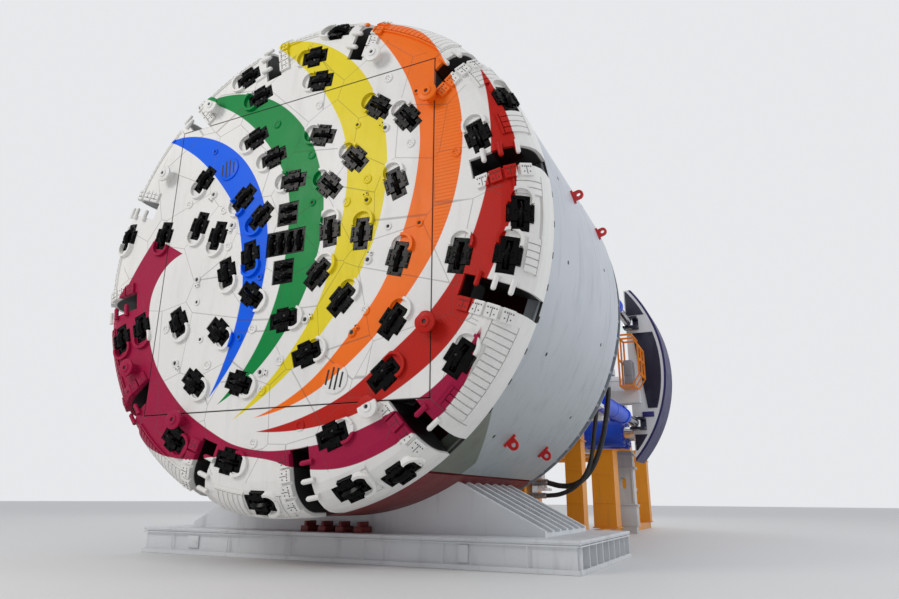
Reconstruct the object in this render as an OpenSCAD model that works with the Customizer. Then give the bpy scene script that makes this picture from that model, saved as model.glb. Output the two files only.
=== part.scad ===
// Open-type rock tunnel boring machine on its display plinth, at full size, in millimetres.
// X is across, Y runs back from the cutting face, Z is up, and the floor is at zero.
// The origin is on the floor at the middle of the plinth.

/* [Machine] */
// Distance from the cutting face back to the middle of the plinth
plinth_back = 3600; // [3500:50:3800]
// Small fit between parts that seat on each other
fit = 0.3; // [0.2:0.1:0.8]
// Running clearance between parts that move past each other
run_gap = 8; // [6:1:12]
// Clearance all round a pin, rod or slide in its bearing
slide_gap = 0.5; // [0.3:0.1:1]

/* [Cutterhead] */
// Radius of the head's steel rim
rim_r = 4480; // [4400:10:4600]
// Radius of the rounded shoulder between face and rim
shoulder_r = 550; // [500:10:620]
// Depth of the head from the face to its rear edge
head_depth = 800; // [760:10:860]
// Width of the rim segments along the radius
rim_band = 980; // [960:10:1000]
// Thickness of the face plates
plate_t = 400; // [380:5:420]
// Half the side of the square centre plate
square_half = 2800; // [2700:10:2840]
// Width of the joints between face plates
seam_w = 16; // [8:1:24]
// Radius of the drum that carries the head
drum_r = 2300; // [2200:10:2400]
// Length of the drum behind the head
drum_l = 1100; // [1000:10:1200]
// Radius of the drum's bore
drum_bore = 1150; // [1100:10:1250]

/* [Buckets] */
// Number of muck openings round the rim
bucket_n = 12; // [12:1:12]
// Angle of the first opening
bucket_a = 10; // [9:0.5:11]
// Width of a muck opening
bucket_w = 340; // [300:10:380]
// Size of one scraper plate along the opening
scraper_l = 190; // [160:5:200]
// Width of a scraper plate
scraper_w = 210; // [180:5:230]
// Thickness of a scraper plate
scraper_t = 45; // [30:5:60]
// Diameter of a peg that reaches over a muck opening
bar_d = 80; // [50:5:90]
// How far a peg reaches over the opening
bar_out = 150; // [100:10:170]

/* [Disc cutters] */
// Radius of the first face cutter's track
face_track = 760; // [740:5:780]
// Distance of the first rim cutter's track from the rim
rim_track_in = 840; // [830:5:850]
// Diameter of a cutting disc
disc_d = 483; // [432:1:500]
// Width of a cutting ring
disc_w = 78; // [60:1:90]
// Width of the flat cutting tip
tip_w = 18; // [10:1:24]
// Height of the cutting tip above the face
disc_out = 100; // [80:5:120]
// Diameter of a cutter's hub
hub_d = 300; // [260:5:320]
// Width of a cutter's hub
hub_w = 170; // [140:5:190]
// Length of a cutter box along the track
box_l = 540; // [530:5:580]
// Width of a cutter box's long part
box_w = 260; // [240:5:280]
// Length of the shaft seats across the track
seat_l = 400; // [370:5:410]
// Width of the shaft seats along the track
seat_w = 260; // [220:5:280]
// Gap round a cutter box in its pocket
pocket_gap = 8; // [4:1:12]
// Gap round a disc in its box
disc_gap = 12; // [8:1:12]
// Diameter of a disc in the middle of the head
centre_d = 432; // [400:1:440]
// Spacing of the discs in the middle of the head
centre_pitch = 190; // [185:1:200]
// Distance of the upper and lower pairs from the middle row
pair_gap = 100; // [80:5:140]
// Width of the raised guard round a cutter's leading end
lip_w = 45; // [30:5:60]
// Height of the raised guard
lip_h = 55; // [30:5:70]

/* [Shield] */
// How much smaller the shield is than the head, in radius
shield_step = 20; // [10:5:60]
// Thickness of the shield's shell
shield_t = 70; // [50:5:100]
// Gap between the head and the shield
shield_gap = 30; // [20:5:50]
// Length of the shield
shield_l = 4870; // [4600:10:5100]
// Half the angle of the bottom shoe
bottom_half_a = 32; // [28:1:36]
// Half the angle of the roof shield
roof_half_a = 48; // [40:1:56]
// Gap between neighbouring shield segments, in degrees
shield_seam = 0.35; // [0.2:0.05:0.6]
// Depth of the shell's inner rings
stiff_h = 240; // [180:10:300]
// Thickness of the shell's inner rings
stiff_t = 60; // [40:5:80]

/* [Drive] */
// Depth of the bulkhead's front from the face
bulkhead_y = 1960; // [1950:10:2050]
// Thickness of the bulkhead
bulkhead_t = 260; // [200:10:320]
// Number of drive motors
motor_n = 10; // [8:1:10]
// Radius of the ring of motors
motor_ring = 3000; // [2900:10:3050]
// Diameter of a drive motor
motor_d = 620; // [560:10:680]
// Length of a drive motor
motor_l = 1500; // [1300:10:1700]

/* [Main beam] */
// Width of the main beam
beam_w = 2000; // [1800:10:2100]
// Height of the main beam
beam_h = 2200; // [2000:10:2300]
// Wall thickness of the main beam
beam_t = 60; // [40:5:80]
// Depth of the main beam's rear end from the face
beam_end = 20600; // [20000:50:21500]
// Height of a slideway on the beam's side
way_h = 260; // [200:10:320]
// How far a slideway stands out
way_out = 110; // [80:5:140]

/* [Conveyor] */
// Width of the conveyor belt
belt_w = 1000; // [800:10:1100]
// Thickness of the conveyor belt
belt_t = 20; // [15:1:30]
// Diameter of the conveyor's end drums
belt_drum_d = 500; // [400:10:560]
// How far the conveyor reaches past the beam's rear end
conveyor_out = 900; // [600:10:1200]

/* [Erector] */
// Length of the ribbed track behind the shield
track_l = 450; // [420:10:500]
// Wall thickness of the track
track_t = 40; // [30:5:60]
// Number of ribs round the track
track_ribs = 72; // [60:1:80]
// Width of the ring erector along the axis
erector_w = 250; // [200:10:280]
// Depth of the ring erector's section
erector_h = 250; // [200:10:280]
// Number of grips on the ring erector
erector_grips = 4; // [3:1:6]

/* [Rock drills] */
// Depth of the drill arch's middle from the face
drill_y = 9100; // [9000:10:9200]
// Radius of the drill arch
arch_r = 2550; // [2450:10:2600]
// Angle of a drill above level at rest
drill_a = 58; // [50:1:66]
// Radius that a drill's tip reaches
drill_reach = 4250; // [4000:10:4300]

/* [Grippers] */
// Depth of the gripper shoes' middle from the face
gripper_y = 14350; // [14300:10:14450]
// How much smaller a gripper shoe is than the head, in radius
shoe_step = 80; // [60:10:140]
// Height of a shoe's upper edge above the axis
shoe_up = 2700; // [2600:10:2800]
// Half the angle that a shoe covers
shoe_half_a = 42.5; // [40:0.5:44]
// Length of a gripper shoe
shoe_l = 1500; // [1400:10:1600]
// Thickness of a shoe's outer skin
skin_t = 70; // [50:5:90]
// Height of the gripper cylinders below the machine's axis
grip_drop = 2050; // [2000:10:2080]
// Distance between the two gripper cylinders
grip_pitch = 900; // [880:10:920]
// Outside diameter of a gripper cylinder
grip_d = 860; // [800:10:870]
// Distance of a gripper cylinder's end from the centre plane
grip_reach = 2850; // [2700:10:2900]
// Diameter of a gripper rod
grip_rod_d = 380; // [320:10:440]
// Length of the gripper carrier
carrier_l = 1900; // [1850:10:2000]

/* [Propel cylinders] */
// Distance of the propel cylinders from the centre plane
propel_x = 3370; // [3350:5:3400]
// Height of the upper cylinders above the axis
propel_up = 1480; // [1440:10:1520]
// Depth of the lower cylinders below the axis
propel_down = 1820; // [1780:10:1860]
// Depth of the front pins from the face
propel_pin_y = 7700; // [7650:10:7750]
// Depth of the rear pins from the face
propel_eye_y = 13350; // [13320:10:13400]
// Outside diameter of a propel cylinder
propel_d = 420; // [360:10:460]
// Length of a propel cylinder's barrel
propel_l = 3300; // [3200:10:3400]
// Diameter of a propel rod
propel_rod_d = 280; // [240:10:320]
// Diameter of the pins
pin_d = 180; // [140:5:200]

/* [Rear legs] */
// Depth of the rear legs from the face
leg_y = 19000; // [18900:10:19200]
// Distance of a rear leg from the centre plane
leg_x = 1750; // [1650:10:1850]
// Width of a rear leg
leg_w = 480; // [420:10:520]
// Height of a rear leg's foot above the floor at rest
leg_foot_z = 1400; // [1300:10:1500]

/* [Plinth and stands] */
// Width of the plinth
plinth_w = 8800; // [8600:50:9000]
// Length of the plinth
plinth_l = 3800; // [3600:50:4000]
// Height of the plinth
plinth_h = 470; // [440:5:500]
// Thickness of the plinth's top plate
plinth_t = 60; // [40:5:80]
// Number of stiffeners along a side of the plinth
plinth_ribs = 9; // [7:1:11]
// Half the width of the cradle at its foot
cradle_half = 3700; // [3600:10:3800]
// Length of the cradle
cradle_l = 2600; // [2400:10:2800]
// Height of the shield's lowest line above the plinth
cradle_h = 270; // [240:10:300]
// Half the angle of the shield that lies in the cradle
cradle_a = 29.5; // [28:0.5:30.5]
// Number of saddle plates in the cradle
saddle_n = 7; // [5:1:8]
// Thickness of a saddle plate
saddle_t = 110; // [80:5:140]
// Width of a floor rail under the stands
skid_w = 300; // [260:10:340]
// Height of a floor rail under the stands
skid_h = 220; // [180:10:260]
// Height of the cross-beams' underside above the floor
bridge_z = 2600; // [2400:10:2640]
// Height of a cross-beam
bridge_h = 420; // [360:10:480]

/* [Platforms] */
// Height of the decks below the machine's axis
deck_drop = 300; // [260:10:340]
// Depth of the front deck from the face
deck_front = 9900; // [9850:10:9950]
// Length of the front deck
deck_front_l = 1200; // [1000:10:1250]
// Depth of the rear deck from the face
deck_rear = 17500; // [17450:10:17600]
// Length of the rear deck
deck_rear_l = 1050; // [900:10:1080]
// Width of a deck
deck_w = 1750; // [1600:10:1800]
// Thickness of a deck
deck_t = 80; // [60:5:100]
// Height of the handrails
rail_h = 1100; // [1000:10:1150]
// Diameter of a handrail
rail_d = 48; // [40:1:60]

/* [Hoses] */
// Diameter of the large hose
hose_d = 120; // [100:5:120]
// Diameter of the smaller hose
hose_small_d = 100; // [80:5:110]

/* [Hidden] */
$fn = 64;
round_fn = 288;

shield_r = rim_r - shield_step;
shoe_r = rim_r - shoe_step;
axis_h = plinth_h + cradle_h + shield_r;
rim_in = rim_r - rim_band;
rim_track = rim_r - rim_track_in;
beam_half = beam_w / 2;
beam_bottom = axis_h - beam_h / 2;
beam_top = axis_h + beam_h / 2;
shoulder_c = rim_r - shoulder_r;
pair_y = centre_d / 2 + 4 + pair_gap + centre_pitch + 20;
shield_front = head_depth + shield_gap;
shield_back = shield_front + shield_l;
shield_in = shield_r - shield_t;
beam_front = bulkhead_y + bulkhead_t;
track_front = shield_back + fit;
track_r = shield_in - 90;
erector_y = track_front + track_l / 2 + 55;
grip_z = axis_h - grip_drop;
chord_x = shoe_r * cos(shoe_half_a);
shoe_front = gripper_y - shoe_l / 2;
flange_d = grip_d + 35;
eye_h = 220;
clevis_t = 90;
deck_z = axis_h - deck_drop;
propel_zs = [axis_h + propel_up, axis_h - propel_down];

// One angle for each face cutter, in the order of the tracks from the middle outwards
face_angles = [189, 135, 3, 317, 233, 87, 47, 196, 274, 135, 356, 166,
    316, 104, 44, 228, 72, 287, 162, 17, 344, 112, 253, 207,
    142, 323, 51, 233, 38, 168, 81, 310, 106, 347, 200, 290];
// One angle for each rim cutter, in the order of the tracks
rim_angles = [85, 258, 18, 238, 109, 200, 325, 169, 348, 79, 357, 268, 290, 25, 300];
face_pitch = (rim_in - 10 - face_track) / (len(face_angles) - 1);
rim_pitch = (rim_track_in - 56) / (len(rim_angles) - 1);
disc_z = disc_out - disc_d / 2;
lip_in = box_w / 2 + pocket_gap + 22;
lip_ledge = 4;
lip_root = 20;
lip_x = box_l / 2 + pocket_gap + 3 * lip_ledge - sqrt(pow(lip_in, 2) - pow(box_w / 2 + pocket_gap, 2));
lip_start = seat_w / 2 + pocket_gap + 10;

// Moves a part from the face's own measure to the plinth's
module from_face() translate([0, -plinth_back, 0]) children();
// The axis frame: X across, Y up, and Z forward out of the cutting face
module axis_frame() from_face() translate([0, 0, axis_h]) rotate([90, 0, 0]) children();
// The same part on the left, as a mirror image
module left_side() mirror([1, 0, 0]) children();
// A ring about the axis between two depths
module ring(r_out, r_in, d0, d1) {
    translate([0, 0, -d1]) difference() {
        cylinder(r = r_out, h = d1 - d0, $fn = round_fn);
        translate([0, 0, -1]) cylinder(r = r_in, h = d1 - d0 + 2, $fn = round_fn);
    }
}
// A part of a ring between two angles
module ring_part(r_out, r_in, d0, d1, a0, a1) {
    rotate_extrude(angle = a1 - a0, start = a0, $fn = round_fn)
        translate([r_in, -d1]) square([r_out - r_in, d1 - d0]);
}
// A box given by its middle in X and Y and by its lowest Z
module post(x, y, z, w, l, h) translate([x - w / 2, y - l / 2, z]) cube([w, l, h]);

// Angle by which a cutter leans outwards on the shoulder
function lean(r) = r <= shoulder_c ? 0 : asin((r - shoulder_c) / shoulder_r);
// Height of the head's surface at a radius
function surface_z(r) = -shoulder_r + shoulder_r * cos(lean(r));
// Places a part on the head's surface, X along the track and Y outwards
module on_track(r, a) {
    rotate([0, 0, a]) translate([r, 0, surface_z(r)]) rotate([0, lean(r), 0])
        rotate([0, 0, 90]) mirror([0, 1, 0]) children();
}
module each_face_cutter()
    for (i = [0 : len(face_angles) - 1]) on_track(face_track + face_pitch * i, face_angles[i]) children();
module each_rim_cutter()
    for (i = [0 : len(rim_angles) - 1]) on_track(rim_track + rim_pitch * i, rim_angles[i]) children();

// Outline of a cutter box seen from in front
module box_outline(gap) {
    square([box_l + 2 * gap, box_w + 2 * gap], center = true);
    square([seat_w + 2 * gap, seat_l + 2 * gap], center = true);
}
module pocket() translate([0, 0, -plate_t]) linear_extrude(plate_t + 300) box_outline(pocket_gap);
// A cutting disc of one diameter with its hub, its axle along Y
module disc(d, hub, hub_width) {
    rotate([90, 0, 0]) rotate_extrude($fn = 48) polygon([[0, -hub_width / 2], [hub / 2, -hub_width / 2],
        [hub / 2 + 8, -disc_w / 2], [d / 2 - 50, -disc_w / 2], [d / 2, -tip_w / 2],
        [d / 2, tip_w / 2], [d / 2 - 50, disc_w / 2], [hub / 2 + 8, disc_w / 2],
        [hub / 2, hub_width / 2], [0, hub_width / 2]]);
}
// The space that a disc and its hub need in a box
module disc_space(d, hub, hub_width) {
    rotate([90, 0, 0]) {
        cylinder(d = d + 2 * disc_gap, h = disc_w + 2 * disc_gap, center = true, $fn = 48);
        cylinder(d = hub + 2 * disc_gap, h = hub_width + 10, center = true, $fn = 48);
    }
}
module cutter() {
    box_top = -10;
    seat_top = 15;
    floor_z = -plate_t + fit;
    difference() {
        union() {
            translate([0, 0, floor_z]) linear_extrude(box_top - floor_z)
                square([box_l, box_w], center = true);
            translate([0, 0, floor_z]) linear_extrude(seat_top - floor_z)
                square([seat_w, seat_l], center = true);
        }
        translate([0, 0, disc_z]) disc_space(disc_d, hub_d, hub_w);
    }
    translate([0, 0, disc_z]) {
        disc(disc_d, hub_d, hub_w);
        rotate([90, 0, 0]) cylinder(d = 120, h = hub_w + 60, center = true);
    }
}
// The raised guard round a cutter's leading end, seen from in front
module lip_outline() difference() {
    translate([lip_x, 0]) circle(r = lip_in + lip_w, $fn = 48);
    translate([lip_x, 0]) circle(r = lip_in, $fn = 48);
    translate([lip_start - box_l, -box_l / 2]) square([box_l, box_l]);
}

module head_body() {
    color("dimgray") axis_frame() difference() {
        union() {
            translate([0, 0, -head_depth]) cylinder(r = rim_in - fit, h = head_depth - plate_t - fit, $fn = round_fn);
            translate([0, 0, -head_depth - drum_l]) cylinder(r = drum_r, h = drum_l + 1, $fn = round_fn);
        }
        translate([0, 0, -head_depth - drum_l - 1]) cylinder(r = drum_bore, h = drum_l, $fn = 96);
    }
}
module face_cutter_outlines()
    for (i = [0 : len(face_angles) - 1])
        rotate(face_angles[i]) translate([face_track + face_pitch * i, 0]) rotate(90) children();
// Outer edge of the face plates, drawn in by a gap: a circle and the corners of the square
module face_plates(gap) {
    circle(r = rim_in - fit - gap, $fn = round_fn);
    square(2 * (square_half - gap), center = true);
}
// Openings in the face plates, made larger by a gap: cutter pockets and the seam round the square
module face_openings(gap) {
    difference() {
        square(2 * (square_half + seam_w + gap), center = true);
        square(2 * (square_half - gap), center = true);
    }
    centre_outline(pocket_gap + gap);
    face_cutter_outlines() box_outline(pocket_gap + gap);
    for (i = [0 : 1])
        rotate(rim_angles[i]) translate([rim_track + rim_pitch * i, 0]) rotate(90)
            box_outline(pocket_gap + gap);
}
module head_face() color("white") axis_frame() {
    translate([0, 0, -plate_t]) linear_extrude(plate_t) difference() {
        face_plates(0);
        face_openings(0);
    }
    translate([0, 0, -lip_root]) linear_extrude(lip_root + lip_h) difference() {
        intersection() {
            face_plates(lip_ledge);
            face_cutter_outlines() lip_outline();
        }
        face_openings(lip_ledge);
    }
}
// The four discs across the middle and the pairs above and below them
module centre_outline(gap) {
    row_w = centre_d + 8;
    square([4 * centre_pitch + 40 + 2 * gap, row_w + 2 * gap], center = true);
    for (s = [-1, 1]) translate([0, s * pair_y])
        square([row_w - 20 + 2 * gap, 2 * centre_pitch + 40 + 2 * gap], center = true);
}
module centre_cutters() {
    floor_z = -plate_t + fit;
    hub = 240;
    hub_width = centre_pitch - 40;
    disc_h = disc_out - centre_d / 2;
    row = [-1.5, -0.5, 0.5, 1.5] * centre_pitch;
    color([0.05, 0.05, 0.06]) axis_frame() {
        difference() {
            translate([0, 0, floor_z]) linear_extrude(-15 - floor_z) centre_outline(0);
            for (x = row) translate([x, 0, disc_h]) rotate([0, 0, 90]) disc_space(centre_d - 20, hub, hub_width);
            for (s = [-1, 1], y = [-0.5, 0.5] * centre_pitch) translate([0, s * pair_y + y, disc_h])
                disc_space(centre_d - 40, hub, hub_width);
        }
        for (x = row) translate([x, 0, disc_h]) rotate([0, 0, 90]) disc(centre_d - 20, hub, hub_width);
        translate([0, 0, disc_h]) rotate([0, 90, 0]) cylinder(d = 120, h = 4 * centre_pitch, center = true);
        for (s = [-1, 1]) translate([0, s * pair_y, disc_h]) {
            for (y = [-0.5, 0.5] * centre_pitch) translate([0, y, 0]) disc(centre_d - 40, hub, hub_width);
            rotate([90, 0, 0]) cylinder(d = 120, h = 2 * centre_pitch, center = true);
        }
    }
}
module face_cutters() color([0.05, 0.05, 0.06]) axis_frame() each_face_cutter() cutter();
module rim_cutters() color([0.05, 0.05, 0.06]) axis_frame() each_rim_cutter() cutter();

// Section of the rim: flat face, rounded shoulder, straight band
module rim_section() {
    arc_steps = 6;
    polygon(concat([[rim_in, -head_depth], [rim_in, 0]],
        [for (i = [0 : arc_steps]) let (a = 90 * i / arc_steps)
            [shoulder_c + shoulder_r * sin(a), -shoulder_r + shoulder_r * cos(a)]],
        [[rim_r, -head_depth]]));
}
module scraper_row() {
    for (r = [rim_in + 150, rim_in + 370, rim_in + 590, rim_in + 790])
        translate([r, 0, surface_z(r)]) rotate([0, lean(r), 0])
            translate([-scraper_l / 2, -scraper_w, -60]) cube([scraper_l, scraper_w, 60 + scraper_t]);
}
module rim_slots()
    each_bucket() translate([rim_in - 200, -bucket_w / 2, -head_depth - 1])
        cube([1500, bucket_w, head_depth + 200]);
module rim_lips() intersection() {
    union() {
        each_rim_cutter() translate([0, 0, -90]) linear_extrude(90 + lip_h) lip_outline();
        for (i = [33 : len(face_angles) - 1]) on_track(face_track + face_pitch * i, face_angles[i])
            translate([0, 0, -lip_root]) linear_extrude(lip_root + lip_h) lip_outline();
    }
    ring(rim_r + 10, rim_in + lip_ledge, -200, head_depth - 20);
}
module head_rim() color("white") axis_frame() difference() {
    union() {
        rotate_extrude($fn = round_fn) rim_section();
        each_bucket() translate([0, 5 - bucket_w / 2, 0]) scraper_row();
        rim_lips();
    }
    rim_slots();
    translate([0, 0, -plate_t - 1]) linear_extrude(plate_t + 200)
        square(2 * (square_half + seam_w), center = true);
    for (i = [32 : len(face_angles) - 1]) on_track(face_track + face_pitch * i, face_angles[i]) pocket();
    each_rim_cutter() pocket();
}
// Blunt pegs that lie on the rim and stand across the bucket mouths
function beyond_square(r, a) = max(abs(r * cos(a)), abs(r * sin(a))) > square_half + seam_w + bar_d;
module bucket_pegs() {
    peg_l = bar_out + 75;
    peg_drop = bar_d * 0.3;
    color("white") axis_frame()
        for (i = [0 : bucket_n - 1], r = [rim_in + 240, rim_in + 510, rim_in + 740])
            let (a = bucket_a + i * 360 / bucket_n)
                if (beyond_square(r, a + asin(bucket_w / 2 / r)))
                    rotate([0, 0, a]) translate([r, bucket_w / 2 - bar_out, surface_z(r)]) rotate([0, lean(r), 0])
                        intersection() {
                            translate([0, 0, peg_drop]) rotate([-90, 0, 0]) {
                                cylinder(d1 = bar_d - 30, d2 = bar_d, h = 25, $fn = 24);
                                translate([0, 0, 25]) cylinder(d = bar_d, h = peg_l - 25, $fn = 24);
                            }
                            translate([-bar_d, -10, fit]) cube([2 * bar_d, peg_l + 20, 2 * bar_d]);
                        }
}
module each_bucket()
    for (i = [0 : bucket_n - 1]) rotate([0, 0, bucket_a + i * 360 / bucket_n]) children();
// A rounded lifting plate with a hole, standing on a surface
module lug(w, h, t, hole) {
    rotate([90, 0, 0]) linear_extrude(t, center = true) difference() {
        union() {
            translate([0, h - w / 2]) circle(d = w, $fn = 32);
            translate([-w * 0.75, 0]) square([w * 1.5, 40]);
            translate([-w / 2, 0]) square([w, h - w / 2]);
        }
        translate([0, h - w / 2]) circle(d = hole, $fn = 32);
    }
}
// Radius and angle of each lifting trunnion on the face
trunnion_table = [[3450, 37], [3580, 62], [3740, 122.5], [3570, 148], [3300, 328], [3470, 303],
    [3780, 211], [3490, 237]];
module head_lugs() color("white") axis_frame() for (p = trunnion_table)
    rotate([0, 0, p[1]]) translate([p[0], 0, fit]) difference() {
        union() {
            cylinder(d = 200, h = 170, $fn = 40);
            translate([0, 0, 170]) cylinder(d1 = 200, d2 = 150, h = 40, $fn = 40);
        }
        translate([0, 0, 180]) cylinder(d = 70, h = 60, $fn = 24);
    }

// One segment of the shield with its inner rings
module shield_part(a0, a1) {
    ring_part(shield_r, shield_in, shield_front, shield_back, a0 + shield_seam, a1 - shield_seam);
    for (d = [shield_front + 160, shield_back - stiff_t])
        ring_part(shield_in - fit, shield_in - stiff_h, d, d + stiff_t, a0 + shield_seam, a1 - shield_seam);
}
side_low_a = -90 + bottom_half_a;
side_high_a = 90 - roof_half_a;
module shield_roof() color("white") axis_frame() shield_part(side_high_a, 180 - side_high_a);
module shield_right() color("white") axis_frame() shield_part(side_low_a, side_high_a);
module shield_left() color("white") left_side() axis_frame() shield_part(side_low_a, side_high_a);
module shield_bottom() color([0.45, 0.08, 0.08]) axis_frame() shield_part(180 + 90 - bottom_half_a, 360 - 90 + bottom_half_a);
// Depth from the face and angle of each red lifting lug, the same on both sides
shield_lug_table = [[2830, 16], [4940, 17], [2390, -46], [4420, -47], [2000, 70], [4700, 70]];
module shield_lugs() {
    color("red") axis_frame() for (s = [0, 1]) mirror([s, 0, 0]) for (p = shield_lug_table)
        rotate([0, 0, p[1]]) translate([shield_r + fit, 0, -p[0]]) rotate([0, 90, 0]) rotate([0, 0, 90])
            lug(180, 210, 50, 80);
}

module bulkhead() {
    color([0.45, 0.08, 0.08]) axis_frame() difference() {
        union() {
            ring(shield_in - fit, drum_bore + 60, bulkhead_y, beam_front);
            ring(drum_r + 400, drum_r + 120, bulkhead_y - 300, bulkhead_y + 1);
        }
        // man holes
        for (i = [0 : 3]) rotate([0, 0, i * 90 + 45]) translate([shield_in - 540, 0, -beam_front - 1])
            cylinder(d = 440, h = bulkhead_t + 2);
    }
}
module main_bearing() {
    color("silver") axis_frame() ring(drum_r + 120 - fit, drum_r + slide_gap, bulkhead_y - 300, bulkhead_y - fit);
}
module drive_motors() {
    color([0.1, 0.3, 0.7]) axis_frame() for (i = [0 : motor_n - 1])
        rotate([0, 0, 90 + 18 + i * 360 / motor_n]) translate([motor_ring, 0, 0]) {
            translate([0, 0, -beam_front - 350]) cylinder(d = motor_d + 160, h = 350 - fit, $fn = 48);
            translate([0, 0, -beam_front - motor_l]) cylinder(d = motor_d, h = motor_l - 340, $fn = 48);
            translate([0, 0, -beam_front - motor_l - 120]) cylinder(d = motor_d * 0.7, h = 121, $fn = 48);
        }
}

module main_beam() {
    inner = beam_half - beam_t;
    flange = 260;
    way_front = gripper_y - 3150;
    way_len = 6200;
    length = beam_end - beam_front - fit;
    hatch_half = 500;
    hatches = [4000, 10300, 16800, 18600];
    starts = concat([beam_front + fit], [for (y = hatches) y + 450]);
    ends = concat([for (y = hatches) y - 450], [beam_end]);
    color("whitesmoke") from_face() {
        translate([-beam_half, beam_front + fit, beam_bottom]) cube([beam_w, length, beam_t]);
        for (s = [0, 1]) mirror([s, 0, 0]) {
            translate([inner, beam_front + fit, beam_bottom + beam_t + fit]) cube([beam_t, length, beam_h - 2 * beam_t - 2 * fit]);
            translate([hatch_half + fit, beam_front + fit, beam_top - beam_t]) cube([beam_half - hatch_half - fit, length, beam_t]);
            translate([beam_half + fit, beam_front + fit, beam_bottom - flange]) cube([flange, 120, beam_h + 2 * flange]);
            for (z = [axis_h - 650, axis_h + 650])
                translate([beam_half + fit, way_front, z - way_h / 2]) cube([way_out - fit, way_len, way_h]);
        }
        // roof plates between the hatches
        for (i = [0 : len(starts) - 1])
            translate([-hatch_half, starts[i], beam_top - beam_t]) cube([2 * hatch_half, ends[i] - starts[i], beam_t]);
        for (z = [beam_bottom - flange, beam_top + fit])
            translate([-beam_half, beam_front + fit, z]) cube([beam_w, 120, flange - fit]);
    }
}
// The frame that carries the front pins of the propel cylinders
module thrust_yoke() {
    end_x = propel_x - 350;
    front = propel_pin_y - 250;
    depth = 400;
    bar_top = propel_zs[0] + 260;
    bar_low = propel_zs[1] - 260;
    color("whitesmoke") from_face() {
        translate([-end_x, front, beam_top + fit]) cube([2 * end_x, depth, bar_top - beam_top - fit]);
        translate([-end_x, front, bar_low]) cube([2 * end_x, depth, beam_bottom - fit - bar_low]);
        for (s = [0, 1], x = [[beam_half + fit, 1450], [2250, end_x]]) mirror([s, 0, 0])
            translate([x[0], front, beam_bottom]) cube([x[1] - x[0], depth, beam_h]);
        for (s = [0, 1], z = propel_zs) mirror([s, 0, 0]) {
            for (k = [-1, 1]) difference() {
                translate([end_x + fit, front, z + k * (eye_h / 2 + clevis_t / 2 + run_gap) - clevis_t / 2])
                    cube([540, depth, clevis_t]);
                translate([propel_x, propel_pin_y, z - 400]) cylinder(d = pin_d + 2 * slide_gap, h = 800);
            }
            translate([propel_x, propel_pin_y, z - eye_h / 2 - run_gap - clevis_t - 40])
                cylinder(d = pin_d, h = eye_h + 2 * (run_gap + clevis_t + 40));
        }
    }
}
belt_front = 1500;
belt_back = beam_end + conveyor_out;
belt_z = axis_h - 15 - belt_drum_d / 2 + belt_t + fit;
module conveyor_frame() {
    back = belt_back;
    z0 = beam_bottom + beam_t + fit;
    frame_low = axis_h - 250;
    frame_x = belt_w / 2 + 40;
    color("slategray") from_face() {
        for (s = [0, 1]) mirror([s, 0, 0]) {
            translate([frame_x, belt_front, frame_low]) cube([60, back - belt_front, 260]);
            for (y = [3200 : 2400 : back - 2200])
                translate([frame_x - 20, y, z0]) cube([100, 100, frame_low - fit - z0]);
        }
        for (y = [2000 : 1800 : back - 500])
            translate([-frame_x + fit, y, axis_h - 60]) rotate([0, 90, 0]) cylinder(d = 90, h = 2 * (frame_x - fit), $fn = 24);
        for (y = [belt_front, back]) translate([-frame_x + fit, y, belt_z]) rotate([0, 90, 0])
            cylinder(d = belt_drum_d - 2 * belt_t - 2 * fit, h = 2 * (frame_x - fit), $fn = 48);
    }
}
// Outline of a loop round both end drums
module belt_loop(r) {
    for (y = [belt_front, belt_back]) translate([y, 0]) circle(r = r, $fn = 48);
    translate([belt_front, -r]) square([belt_back - belt_front, 2 * r]);
}
module conveyor_belt() {
    r = belt_drum_d / 2;
    color([0.12, 0.12, 0.12]) from_face() translate([-belt_w / 2, 0, belt_z]) rotate([90, 0, 90])
        linear_extrude(belt_w) difference() {
            belt_loop(r);
            belt_loop(r - belt_t);
        }
}

module erector_track() {
    flange = 40;
    color("slategray") axis_frame() {
        translate([0, 0, -track_front - track_l]) linear_extrude(track_l) difference() {
            union() {
                circle(r = track_r + track_t, $fn = round_fn);
                for (i = [0 : track_ribs - 1]) rotate(i * 360 / track_ribs)
                    translate([track_r + 5, -30]) square([track_t + 55, 60]);
            }
            circle(r = track_r, $fn = round_fn);
        }
        for (d = [track_front, track_front + track_l - flange])
            ring(track_r + 120, track_r + track_t - 1, d, d + flange);
    }
}
module ring_erector() {
    ring_in = track_r - slide_gap - erector_h;
    color([0.95, 0.6, 0.1]) axis_frame() {
        ring(track_r - slide_gap, ring_in, erector_y - erector_w / 2, erector_y + erector_w / 2);
        for (i = [0 : erector_grips - 1]) rotate([0, 0, 45 + i * 360 / erector_grips])
            translate([ring_in - 330, 0, -erector_y]) {
                translate([0, -140, -90]) cube([340, 280, 180]);
                translate([0, -380, -erector_w / 2]) cube([90, 760, erector_w]);
            }
    }
}
module drill_arch() {
    color("slategray") axis_frame() ring_part(arch_r, arch_r - 160, drill_y - 100, drill_y + 100, 5, 175);
    color("slategray") from_face() for (s = [0, 1]) mirror([s, 0, 0])
        translate([beam_half + fit, drill_y - 90, axis_h + 320]) cube([arch_r - 150 - beam_half, 180, 220]);
}
module drill_right() {
    color([0.95, 0.6, 0.1]) axis_frame() rotate([0, 0, drill_a]) {
        translate([arch_r + slide_gap, -260, -drill_y - 260]) cube([180, 520, 520]);
        translate([arch_r + 60, -110, -drill_y - 420]) cube([drill_reach - arch_r - 160, 220, 160]);
        translate([arch_r + 200, -150, -drill_y - 620]) cube([700, 300, 220]);
        translate([arch_r + 850, 0, -drill_y - 510]) rotate([0, 90, 0]) cylinder(d = 60, h = drill_reach - arch_r - 850);
    }
}
module drill_left() left_side() drill_right();

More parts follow.
